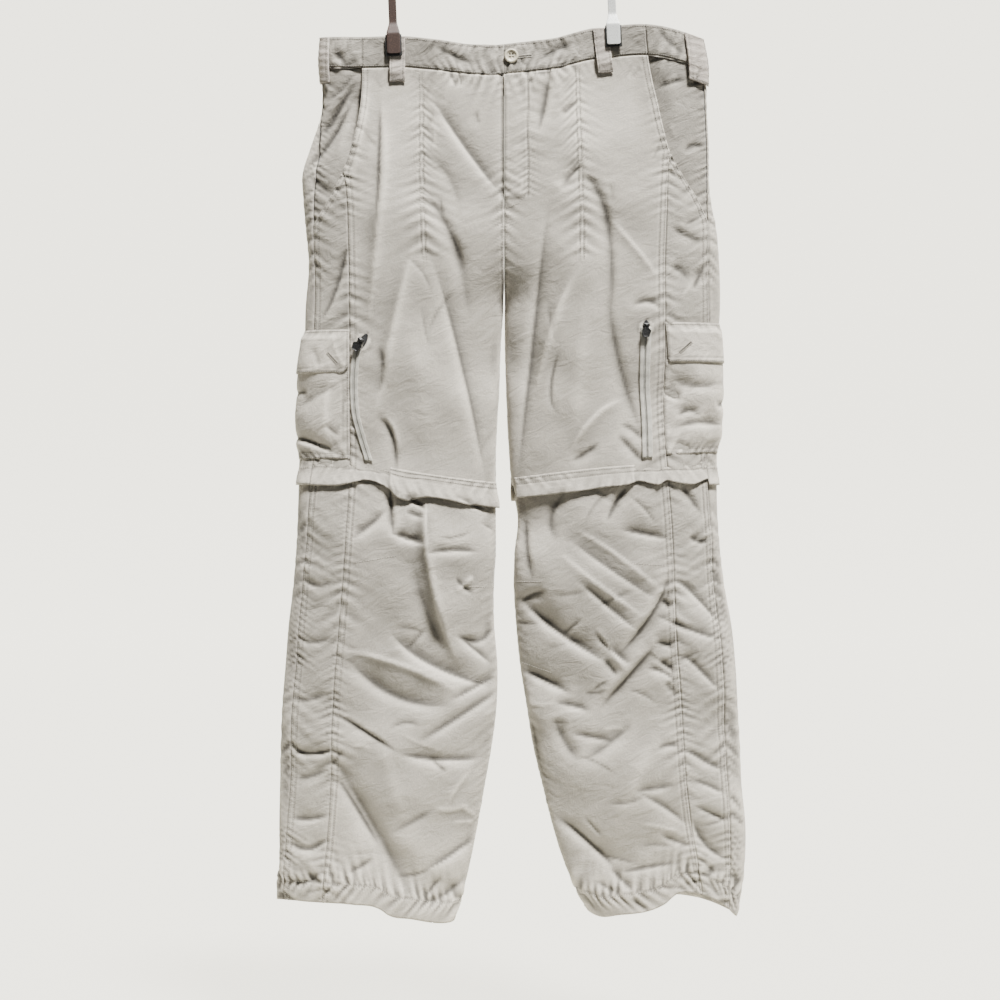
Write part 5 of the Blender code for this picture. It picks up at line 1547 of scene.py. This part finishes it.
def sew(store, points, normals):
    """One row of stitches with a dark bead between every two, painted shade of a needle hole."""
    lay_beads(store, points, normals)
    lay_beads("holes", points, normals, long=HOLE_LONG, wide=HOLE_WIDE, out=0.02, shift=0.5)


def sew_edge(store, name, side, insets, low=0.0, high=1.0):
    """Rows of stitches along one edge of a piece of cloth."""
    for inset in insets:
        sew(store, *cloths[name].at(*cloths[name].edge(side, inset, low, high)))


# %% A line of stitches through any points
def on_front(name, points, count=120):
    """Points and normals on the front of a piece, on its own grid, for a line of (x, fallen) points."""
    cloth = cloths[name]
    line = np.array(points, float)
    travelled = np.concatenate(((0,), np.cumsum(np.hypot(*np.diff(line, axis=0).T))))
    at = np.linspace(0, travelled[-1], count)
    grid_x, grid_fallen = cloth.points[..., 0], WAIST_Z - cloth.points[..., 2]
    hidden = 1000 * (cloth.normals[..., 1] > 0)
    u, v = [], []
    for one_x, one_fallen in zip(*(np.interp(at, travelled, column) for column in line.T)):
        near = np.hypot(grid_x - one_x, grid_fallen - one_fallen) + hidden
        r, c = np.unravel_index(near.argmin(), near.shape)
        r0, c0 = min(max(r, 1), cloth.rows - 1), min(max(c, 1), cloth.columns - 1)
        step_u = (cloth.points[r0, c0 + 1] - cloth.points[r0, c0 - 1]) / 2
        step_v = (cloth.points[r0 + 1, c0] - cloth.points[r0 - 1, c0]) / 2
        gap = np.array((one_x - grid_x[r, c], grid_fallen[r, c] - one_fallen))
        basis = np.array(((step_u[0], step_v[0]), (step_u[2], step_v[2])))
        move = np.linalg.solve(basis, gap)
        u.append((c + move[0]) / cloth.columns)
        v.append((r + move[1]) / cloth.rows)
    return cloth.at(np.array(u), np.array(v))


def sew_line(store, name, points):
    """A row of stitches on a front through (x, fallen) points."""
    sew(store, *on_front(name, points))


# %% Sewing the whole garment
CROTCH_SHARE = (CROTCH_DROP - 18 - BAND_HEIGHT) / (KNEE_CUT - BAND_HEIGHT)
for leg in SIGN:
    sew_edge(leg, "front_thigh_" + leg, "end", TWIN)
    sew_edge(leg, "front_thigh_" + leg, "start", (2.0,), 0, CROTCH_SHARE)
    sew_edge(leg, "side_thigh_" + leg, "end", TWIN)
    for kind in ("front_shin", "side_shin"):
        sew_edge(leg, f"{kind}_{leg}", "end", TWIN)
    for kind in ("front_shin", "side_shin", "back_shin"):
        sew_edge(leg, f"{kind}_{leg}", "bottom", (HEM_HEIGHT - 3,))
    sew_edge(leg, "back_thigh_" + leg, "end", (2.0, 7.0))
    for kind in ("waistband_front", "waistband_back"):
        sew_edge(leg, f"{kind}_{leg}", "top", (3.0,))
        sew_edge(leg, f"{kind}_{leg}", "bottom", (2.2,))
        sew_edge(leg, f"{kind}_{leg}", "end", (1.8,))
    for kind in ("knee_flap_front", "knee_flap_back"):
        sew_edge(leg, f"{kind}_{leg}", "top", (2.5, 8.0))
    sew_edge(leg, "cargo_pocket_" + leg, "start", (2.0,))
    sew_edge(leg, "cargo_pocket_" + leg, "bottom", (2.2, 7.0))
    sew_edge(leg, "cargo_flap_" + leg, "start", (2.0,))
    sew_edge(leg, "cargo_flap_" + leg, "top", (2.5,))
    sew_edge(leg, "cargo_flap_" + leg, "bottom", (2.2,))
    for offset in TUCK_ROWS:
        drops = np.linspace(44, TUCK_END[leg], 60)
        dip = DIP_AT_WAIST(TUCKS[leg](drops)) * (1 - fade(BAND_HEIGHT, 330, drops))
        line = [(x + offset, drop) for x, drop in zip(TUCKS[leg](drops), drops + dip)]
        sew_line(leg, "front_thigh_" + leg, line)
    for line in DARTS[leg]:
        sew_line(leg, "front_shin_" + leg, line)
for name in loops:
    for side in ("start", "end"):
        sew_edge("middle", name, side, (2.6,))
    for down in (0.94, 0.965):
        row = cloths[name].at(np.linspace(0.04, 0.96, 20), down)
        lay_beads("middle", *row, pitch=2.0, long=1.5)
        lay_beads("holes", *row, pitch=2.0, long=0.9, wide=0.8, shift=0.5)
FLY_STITCHES = (
    (FLY_X, BAND_HEIGHT + 28), (FLY_X, FLY_BEND + 14), (FLY_X - 3, FLY_BEND + 26),
    (FLY_X - 12, FLY_BEND + 38), (8, FLY_DROP + 22),
)
sew_line("left", "front_thigh_left", FLY_STITCHES)

# %% [markdown]
# A buttonhole is a slit with stitches packed side by side across both its edges and a bar at each end. A
# coil zip's teeth are loops of the same size on both sides of a gap. The same beads make all of them, and
# dark beads along the gaps and the slits are painted shade.

# %% Buttonholes and zip coils
BUTTONHOLES = (
    ("waistband_front_left", (23.5, 43.5), (38.5, 42.0)),
    ("cargo_flap_right", (-212.5, 412.5), (-201.5, 424.5)),
    ("cargo_flap_left", (223.0, 410.5), (236.0, 399.0)),
)
COIL_GAP = {"right": 0.35, "left": 0.6}
for name, start, end in BUTTONHOLES:
    start, end = np.array(start), np.array(end)
    way = (end - start) / np.hypot(*(end - start))
    beside = np.array((-way[1], way[0]))
    lay_beads("coil", *on_front(name, (start, end), 30), pitch=1.0, long=1.5, wide=0.7, out=0.25)
    for side in (-1.3, 1.3):
        row = on_front(name, (start - way * 0.8 + beside * side, end + way * 0.8 + beside * side), 30)
        lay_beads("middle", *row, pitch=0.72, long=1.9, wide=0.6, out=0.35, crosswise=True)
    for tip in (start - way, end + way):
        row = on_front(name, (tip - beside * 1.8, tip + beside * 1.8), 12)
        lay_beads("middle", *row, pitch=0.72, long=1.2, wide=0.6, out=0.35, crosswise=True)
for leg in SIGN:
    zip_cloth = cloths["thigh_zip_" + leg]
    run = np.linspace(0.02, 0.99, 160)
    lay_beads("coil", *zip_cloth.at(0.5, run), pitch=2.0, long=2.6, wide=COIL_GAP[leg], out=0.05)
    for side in (-1.15, 1.15):
        row = zip_cloth.at(0.5 + side / (2 * ZIP_HALF[leg]), run)
        lay_beads("teeth", *row, pitch=1.5, long=1.7, wide=0.85, out=0.15, crosswise=True)


# %% [markdown]
# A row of stitches is kept as the middles and the half axes of its beads. One small ball is laid on all
# of them at once, and each group of rows becomes one mesh.

# %% Beads joined into pieces
def thread_material(name, colour):
    """Spun thread, with fine changes of tone."""
    material, tree, shader = new_material(name)
    place = add_node(tree, "ShaderNodeTexCoord", {}).outputs["Object"]
    noise = add_node(tree, "ShaderNodeTexNoise", {"Vector": place, "Scale": 900.0})
    darker = [0.85 * value for value in colour]
    tone = {"Factor": noise.outputs["Fac"], 6: (*darker, 1), 7: (*colour, 1)}
    mix = add_node(tree, "ShaderNodeMix", tone, data_type="RGBA")
    feed(tree, shader, {"Roughness": 0.6, "Base Color": mix.outputs[2]})
    return material


def join_beads(name, lines, material, body=GARMENT):
    """All beads of a store as one piece, copied from one small ball."""
    template = bmesh.new()
    bmesh.ops.create_icosphere(template, subdivisions=1, radius=1.0)
    ball = np.array([vert.co for vert in template.verts])
    faces = np.array([[vert.index for vert in face.verts] for face in template.faces])
    template.free()
    middle, *axes = (np.concatenate([line[k] for line in lines]) for k in range(4))
    points = middle[:, None] + sum(ball[None, :, k, None] * axis[:, None] for k, axis in enumerate(axes))
    corners = faces[None] + (np.arange(len(middle)) * len(ball))[:, None, None]
    mesh = bpy.data.meshes.new(name)
    mesh.from_pydata((points.reshape(-1, 3) * MM).tolist(), [], corners.reshape(-1, 3).tolist())
    bm = bmesh.new()
    bm.from_mesh(mesh)
    bpy.data.meshes.remove(mesh)
    print(name, len(middle), "beads")
    return add_piece(name, bm, material, body)


THREAD = thread_material("thread", (0.52, 0.485, 0.42))
# Painted shade: the dark beads between the stitches stand for the shade in the needle holes.
HOLE_SHADE = thread_material("needle_hole_shade", (0.15, 0.135, 0.11))
# Painted shade: near-black beads along the zip gaps, the buttonhole slits and in the button's holes.
COIL_SHADE = thread_material("painted_gap_shade", (0.09, 0.085, 0.075))
COIL = thread_material("zip_coil", (0.52, 0.51, 0.46))
for leg in ("right", "left"):
    join_beads("stitches_" + leg, beads[leg], THREAD)
join_beads("stitches_loops_and_buttonholes", beads["middle"], THREAD)
join_beads("needle_hole_shade", beads["holes"], HOLE_SHADE)
join_beads("zip_gap_and_slit_shade", beads["coil"], COIL_SHADE)
join_beads("zip_teeth", beads["teeth"], COIL)

# %% [markdown]
# The hard parts are small but they catch the eye. Pressed steel strips with rounded edges make the clips:
# one is coated brown, the other is bare and brushed. Rubber pads line the jaws. The zip parts are black
# enamelled castings, and the button is a turned disc of cream plastic with a raised rim. Each finish has
# fine grain, specks of a second colour and uneven gloss, because no coated or cast surface is even. On
# the black enamel the light specks are painted glints.


# %% Hard finishes
def hard_material(
    name, colour, speck, roughness, metallic=0.0, grain=900.0, bump=0.3, specks=0.62, coarse=700.0
):
    """A hard finish with grain as bump, scattered specks of a second colour and uneven gloss."""
    material, tree, shader = new_material(name)
    place = add_node(tree, "ShaderNodeTexCoord", {}).outputs["Object"]
    fine, wide = (
        add_node(tree, "ShaderNodeTexNoise", {"Vector": place, "Scale": scale, "Detail": detail})
        for scale, detail in ((grain, 4.0), (coarse, 3.0))
    )
    rough = {"Strength": bump, "Distance": 0.0002, "Height": fine.outputs["Fac"]}
    raised = add_node(tree, "ShaderNodeBump", rough)
    sharpened = {"Value": wide.outputs["Fac"], "From Min": specks - 0.08, "From Max": specks + 0.08}
    cut = add_node(tree, "ShaderNodeMapRange", sharpened)
    flecked = {"Factor": cut.outputs["Result"], 6: (*colour, 1), 7: (*speck, 1)}
    mix = add_node(tree, "ShaderNodeMix", flecked, data_type="RGBA")
    uneven = {"Value": fine.outputs["Fac"], "To Min": roughness - 0.08, "To Max": roughness + 0.12}
    gloss = add_node(tree, "ShaderNodeMapRange", uneven)
    feed(tree, shader, {
        "Metallic": metallic, "Normal": raised.outputs["Normal"], "Base Color": mix.outputs[2],
        "Roughness": gloss.outputs["Result"],
    })
    return material


BROWN = hard_material("brown_coating", (0.042, 0.022, 0.016), (0.10, 0.055, 0.038), 0.55, bump=0.6)
STEEL = hard_material(
    "brushed_steel", (0.80, 0.81, 0.78), (0.60, 0.61, 0.59), 0.45, metallic=0.1, bump=0.6, specks=0.55
)
RUBBER = hard_material("black_rubber", (0.02, 0.02, 0.02), (0.05, 0.05, 0.048), 0.7, bump=0.5)
# The light specks of the black enamel are painted glints.
ENAMEL_WITH_PAINTED_GLINTS = hard_material(
    "black_enamel_with_painted_glints", (0.012, 0.012, 0.012), (0.20, 0.20, 0.19), 0.3, specks=0.66, coarse=1500.0
)
CREAM = hard_material(
    "cream_plastic", (0.72, 0.655, 0.50), (0.80, 0.75, 0.62), 0.32, bump=0.08, coarse=220.0
)
WIRE = hard_material("hanger_wire", (0.50, 0.51, 0.50), (0.36, 0.36, 0.35), 0.35, metallic=0.9, grain=400.0)
for name in ("hanger_bar", "hanger_hook"):
    for slot in nodes[name].material_slots:
        slot.material = WIRE

# %% [markdown]
# A clip is two strips that hang from the bar and press two pads together. A strip is a grid bent along a
# line and given thickness by a modifier, and its rims are rounded by a bevel. The lower corners of the
# jaws are rounded too.

# %% Clips
HANGER_TILT = math.radians(2.4)
CLIP_FOOT = {"right": 39.6, "left": 28.0}
BAR_RADIUS = 3.0
BAR_DROP = 95.0
JAW_HEIGHT = 27.0
JAW_HALF = 8.4
PAD_SIZE = (20.4, 1.2, 27.0)
STRIP_THICK = 1.2
JAW_CORNER = 2.2
tilt = Matrix.Rotation(-HANGER_TILT, 4, "Y")


def even_line(points, step):
    """Points every step millimetres along a line, with its bends eased."""
    line = np.array(points, float)
    travelled = np.concatenate(((0,), np.cumsum(np.hypot(*np.diff(line[:, :2], axis=0).T))))
    at = np.linspace(0, travelled[-1], int(travelled[-1] / step))
    spread = np.stack([np.interp(at, travelled, line[:, k]) for k in range(line.shape[1])], -1)
    padded = np.pad(spread, ((2, 2), (0, 0)), mode="edge")
    return sum(padded[k:k + len(spread)] for k in range(5)) / 5


def strip(name, line, direction, lay, material):
    """A strip of metal along (distance from the middle, height, half width) points, for the node name."""
    bm = bmesh.new()
    rows = len(line) - 1
    bmesh.ops.create_grid(bm, x_segments=6, y_segments=rows, size=0.5)
    foot = line[0][1]
    for vert in bm.verts:
        y, z, half = line[round((vert.co.y + 0.5) * rows)]
        round_off = JAW_CORNER - min(z - foot, JAW_CORNER)
        half = half - JAW_CORNER + math.sqrt(JAW_CORNER**2 - round_off**2)
        vert.co = lay @ (Vector((vert.co.x * 2 * half, direction * y, z)) * MM)
    thing = add_piece(name + "_strip", bm, material)
    wall = thing.modifiers.new("wall", "SOLIDIFY")
    wall.thickness = STRIP_THICK * MM
    wall.offset = 0
    rim = thing.modifiers.new("rim", "BEVEL")
    rim.width = 0.35 * MM
    rim.segments = 2
    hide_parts(name)


def block(bm, centre, size, rounding, taper=1.0, segments=3):
    """A block with rounded edges, narrower at its lower end by the taper."""
    lay = Matrix.Translation(centre) @ Matrix.Diagonal((*size, 1))
    made = bmesh.ops.create_cube(bm, size=1, matrix=lay)["verts"]
    for vert in made:
        if vert.co.z < centre[2]:
            vert.co.x = centre[0] + (vert.co.x - centre[0]) * taper
    edges = list({edge for vert in made for edge in vert.link_edges})
    bmesh.ops.bevel(
        bm, geom=edges, offset=rounding, segments=segments, affect="EDGES", profile=0.5, material=-1
    )


for leg in SIGN:
    foot = tilt.inverted() @ Vector((CLIP_X[leg], 0, WAIST_Z - CLIP_FOOT[leg]))
    rise = -BAR_DROP - foot.z
    lay = tilt @ Matrix.Translation((foot.x * MM, 0, foot.z * MM))
    metal, slot = (BROWN, "brown_clip") if leg == "right" else (STEEL, "grey_clip")
    front = PINCHED_DEPTH + BAND_OUT + STRIP_LIFT + LOOP_THICK + 1.0
    back = PINCHED_DEPTH + BAND_OUT + 1.0
    for side, direction, stand in (("front", -1, front), ("back", 1, back)):
        bm = bmesh.new()
        block(bm, (0, 0, 0), PAD_SIZE, 0.5)
        for k in range(6):
            block(bm, (0, -direction * 0.55, -11 + 4.4 * k), (PAD_SIZE[0] - 1, 0.5, 1.4), 0.2, segments=2)
        place = Vector((0, direction * (stand + PAD_SIZE[1] / 2), JAW_HEIGHT / 2 - 1)) * MM
        at_jaw = lay @ Matrix.Translation(place) @ Matrix.Scale(MM, 4)
        bmesh.ops.transform(bm, matrix=at_jaw, verts=bm.verts)
        pad = add_piece(f"clip_pad_{side}_{leg}_rubber", bm, RUBBER)
        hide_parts(f"clip_pad_{side}_{leg}")
        jaw_y = stand + PAD_SIZE[1] + SEAM_GAP + STRIP_THICK / 2
        stem_y = STRIP_THICK / 2 + SEAM_GAP
        eye = BAR_RADIUS + SEAM_GAP + STRIP_THICK / 2
        line = [(jaw_y, 1.5, JAW_HALF), (jaw_y, 28, JAW_HALF), (stem_y + 1.5, 38, 6.0), (stem_y, 42, 5.0)]
        if side == "front":
            turns = [math.radians(turn) for turn in (-50, -20, 15, 50, 90, 130, 165)]
            line += [(stem_y, rise - eye - 4, 5.0)]
            line += [(eye * math.cos(turn), rise + eye * math.sin(turn), 5.0) for turn in turns]
        else:
            line += [(stem_y, rise - eye - 5, 5.0)]
        strip(f"clip_{side}_{leg}", even_line(line, 0.8), direction, lay, metal)
print("clips done")

# %% [markdown]
# A zip slider is a small casting: a tapered plate with two ears that hold a pin. The pull turns on the
# pin, so it is its own piece on its own body. It is a five-sided plate with a raised rim and a ring at
# its top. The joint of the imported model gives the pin's place and direction, and the slider's flat back
# gives the way to the cloth.

# %% Sliders and pulls
SLIDER_SIZE = (8.4, 3.0, 11.0)
PIN_Y, PIN_Z = -3.7, 3.3
PIN_RADIUS = 0.6
EYE_WIDTH = 4.4
EAR_THICK = 0.9
PULL_RADIUS = 6.5
PULL_THICK = 1.2


def slider_lay(leg):
    """The matrix from the slider's own millimetres to the garment: across, towards the cloth, and up."""
    joint = next(joint for joint in frame["joints"] if joint["child"] == leg + "_zip_pull")
    across = Vector(joint["axis"]).normalized()
    faces = nodes["zip_slider_" + leg].data.polygons
    inward = max(faces, key=lambda face: face.area).normal.copy()
    inward = (inward - across * inward.dot(across)).normalized()
    inward *= 1 if inward.y > 0 else -1
    across *= 1 if across.cross(inward).z > 0 else -1
    turn = Matrix((across, inward, across.cross(inward))).transposed()
    place = Vector(joint["pos_m"]) - turn @ (Vector((0, PIN_Y, PIN_Z)) * MM)
    return Matrix.Translation(place) @ turn.to_4x4() @ Matrix.Scale(MM, 4)


def rod(bm, centre, radius, length):
    """A rod along x."""
    lay = Matrix.Translation(centre) @ Matrix.Rotation(math.pi / 2, 4, "Y")
    bmesh.ops.create_cone(
        bm, cap_ends=True, segments=20, radius1=radius, radius2=radius, depth=length, matrix=lay
    )


for leg in SIGN:
    lay = slider_lay(leg)
    bm = bmesh.new()
    block(bm, (0, 0, 0), SLIDER_SIZE, 0.9, taper=0.66)
    block(bm, (0, -1.6, -1.6), (2.6, 1.0, 6.0), 0.4, taper=0.8)
    rod(bm, (0, PIN_Y, PIN_Z), PIN_RADIUS, EYE_WIDTH + 2.4)
    for side in (-1, 1):
        ear_x = side * (EYE_WIDTH / 2 + 0.3 + EAR_THICK / 2)
        block(bm, (ear_x, -2.6, PIN_Z), (EAR_THICK, 4.4, 2.8), 0.4)
        rod(bm, (ear_x + side * 0.5, PIN_Y, PIN_Z), 1.0, 0.5)
    bmesh.ops.transform(bm, matrix=lay, verts=bm.verts)
    slider = add_piece(f"zip_slider_{leg}_casting", bm, ENAMEL_WITH_PAINTED_GLINTS)
    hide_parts("zip_slider_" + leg)

    bm = bmesh.new()
    ring = bmesh.ops.create_circle(bm, segments=12, radius=1.0)["verts"]
    for vert in ring:
        vert.co = (vert.co.x * EYE_WIDTH / 2, PIN_Y, PIN_Z + 1.3 + vert.co.y * 0.45)
    rim = list({edge for vert in ring for edge in vert.link_edges})
    pin = (0, PIN_Y, PIN_Z)
    bmesh.ops.spin(bm, geom=ring + rim, cent=pin, axis=(1, 0, 0), angle=math.tau, steps=24, use_merge=True)
    block(bm, (0, PIN_Y, PIN_Z - 3.2), (3.0, 1.1, 4.0), 0.35)
    turn = Matrix.Translation((0, PIN_Y + 0.6, PIN_Z - 9.2)) @ Matrix.Rotation(math.pi / 2, 4, "X")
    stretch = Matrix.Diagonal((1, 1.14, 1, 1))
    plate = bmesh.ops.create_circle(
        bm, cap_ends=True, segments=5, radius=PULL_RADIUS, matrix=turn @ stretch
    )["verts"]
    face = plate[0].link_faces[0]
    raised = bmesh.ops.extrude_face_region(bm, geom=[face])["geom"]
    front_verts = [item for item in raised if isinstance(item, bmesh.types.BMVert)]
    bmesh.ops.translate(bm, verts=front_verts, vec=(0, -PULL_THICK, 0))
    around_plate = {edge for vert in plate for edge in vert.link_edges}
    corners = [edge for edge in around_plate if abs(edge.verts[0].co.y - edge.verts[1].co.y) > 1]
    bmesh.ops.bevel(bm, geom=corners, offset=1.0, segments=3, affect="EDGES", profile=0.5, material=-1)
    bm.normal_update()
    many_sided = [face for face in bm.faces if len(face.verts) > 8]
    front = min(many_sided, key=lambda face: face.calc_center_median().y)
    bmesh.ops.inset_region(bm, faces=[front], thickness=1.0, depth=0.0)
    bmesh.ops.inset_region(bm, faces=[front], thickness=0.25, depth=-0.3)
    bmesh.ops.transform(bm, matrix=lay, verts=bm.verts)
    bmesh.ops.recalc_face_normals(bm, faces=bm.faces)
    pull = add_piece(f"zip_pull_{leg}_plate", bm, ENAMEL_WITH_PAINTED_GLINTS, body=leg + "_zip_pull")
    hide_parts("zip_pull_" + leg)
    softened = pull.modifiers.new("rim", "BEVEL")
    softened.width = 0.15 * MM
    softened.segments = 2

# %% [markdown]
# The waist button is moulded in one shot and then drilled, so it is made the same way: half its outline
# is spun into a disc with a raised rim, and a boolean modifier cuts the four holes. The imported model's
# button gives the place. Four flat dark dots fill the holes: thread, dark as painted shade of the holes.

# %% Waist button
BUTTON_PROFILE = (
    (0, 1.7), (4.6, 1.7), (5.5, 2.0), (6.1, 2.55), (6.8, 2.9), (7.7, 2.95), (8.4, 2.6), (8.8, 1.8),
    (8.7, 0.9), (8.1, 0.2), (7.0, 0.0), (0, 0),
)
HOLE_PLACE = 1.75
HOLE_RADIUS = 1.15
HOLE_SPOTS = [(x, z) for x in (-HOLE_PLACE, HOLE_PLACE) for z in (-HOLE_PLACE, HOLE_PLACE)]
low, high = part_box("waist_button")
seat = Vector(((low.x + high.x) / 2, high.y, (low.z + high.z) / 2))
bm = bmesh.new()
line = [bm.verts.new((radius, -height, 0)) for radius, height in BUTTON_PROFILE]
profile = [bm.edges.new(pair) for pair in zip(line, line[1:])]
bmesh.ops.spin(
    bm, geom=line + profile, cent=(0, 0, 0), axis=(0, 1, 0), angle=math.tau, steps=48, use_merge=True
)
bmesh.ops.remove_doubles(bm, verts=bm.verts, dist=0.001)
bmesh.ops.recalc_face_normals(bm, faces=bm.faces)
bmesh.ops.transform(bm, matrix=Matrix.Translation(seat) @ Matrix.Scale(MM, 4), verts=bm.verts)
button = add_piece("waist_button_disc", bm, CREAM)
drill = bmesh.new()
for hole_x, hole_z in HOLE_SPOTS:
    spot = seat + Vector((hole_x, 0, hole_z)) * MM
    bmesh.ops.create_cone(
        drill, cap_ends=True, segments=16, radius1=HOLE_RADIUS * MM, radius2=HOLE_RADIUS * MM, depth=12 * MM,
        matrix=Matrix.Translation(spot) @ Matrix.Rotation(math.pi / 2, 4, "X"),
    )
drill_mesh = bpy.data.meshes.new("drill")
drill.to_mesh(drill_mesh)
drill.free()
drill_thing = bpy.data.objects.new("drill", drill_mesh)
bpy.context.scene.collection.objects.link(drill_thing)
cut = button.modifiers.new("holes", "BOOLEAN")
cut.object = drill_thing
bpy.context.view_layer.update()
drilled = bpy.data.meshes.new_from_object(button.evaluated_get(bpy.context.evaluated_depsgraph_get()))
button.modifiers.clear()
button.data = drilled
bpy.data.objects.remove(drill_thing)
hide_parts("waist_button")

# %% Thread in the button's holes, dark as painted shade
bm = bmesh.new()
for hole_x, hole_z in HOLE_SPOTS:
    spot = seat + Vector((hole_x, -0.7, hole_z)) * MM
    bmesh.ops.create_uvsphere(
        bm, u_segments=12, v_segments=8, radius=1.05 * MM,
        matrix=Matrix.Translation(spot) @ Matrix.Diagonal((1, 0.5, 1, 1)),
    )
add_piece("waist_button_thread_shade", bm, COIL_SHADE)

# %% [markdown]
# Each thigh slider is parked in a small garage: the cloth is slit there and its lips are rolled up. The
# lips are part of the front's relief. The slit is painted shade: a leaf of grid in black rubber that lies
# in the hollow between them.

# %% Painted shade in the slits that the sliders sit in
for leg in SIGN:
    middle_x, middle_drop, half_long, half_wide, turn = GARAGE[leg]
    bm = bmesh.new()
    bmesh.ops.create_grid(bm, x_segments=8, y_segments=24, size=1.0)
    thigh = "front_thigh_" + leg
    c, s = math.cos(math.radians(turn)), math.sin(math.radians(turn))
    for vert in bm.verts:
        along = vert.co.y * half_long
        wide = vert.co.x * half_wide * max(1 - abs(vert.co.y) ** 2.2, 0.02) ** 0.7
        spot = (middle_x + along * s + wide * c, middle_drop + along * c - wide * s)
        point, _ = on_front(thigh, (spot, spot), 1)
        vert.co = Vector(point[0] + np.array((0, -1.0 + 0.8 * abs(vert.co.x), 0))) * MM
    # Painted shade: a black rubber leaf in the hollow of the slit.
    add_piece("zip_slit_painted_shade_" + leg, bm, RUBBER)
print("sliders, pulls and button done")
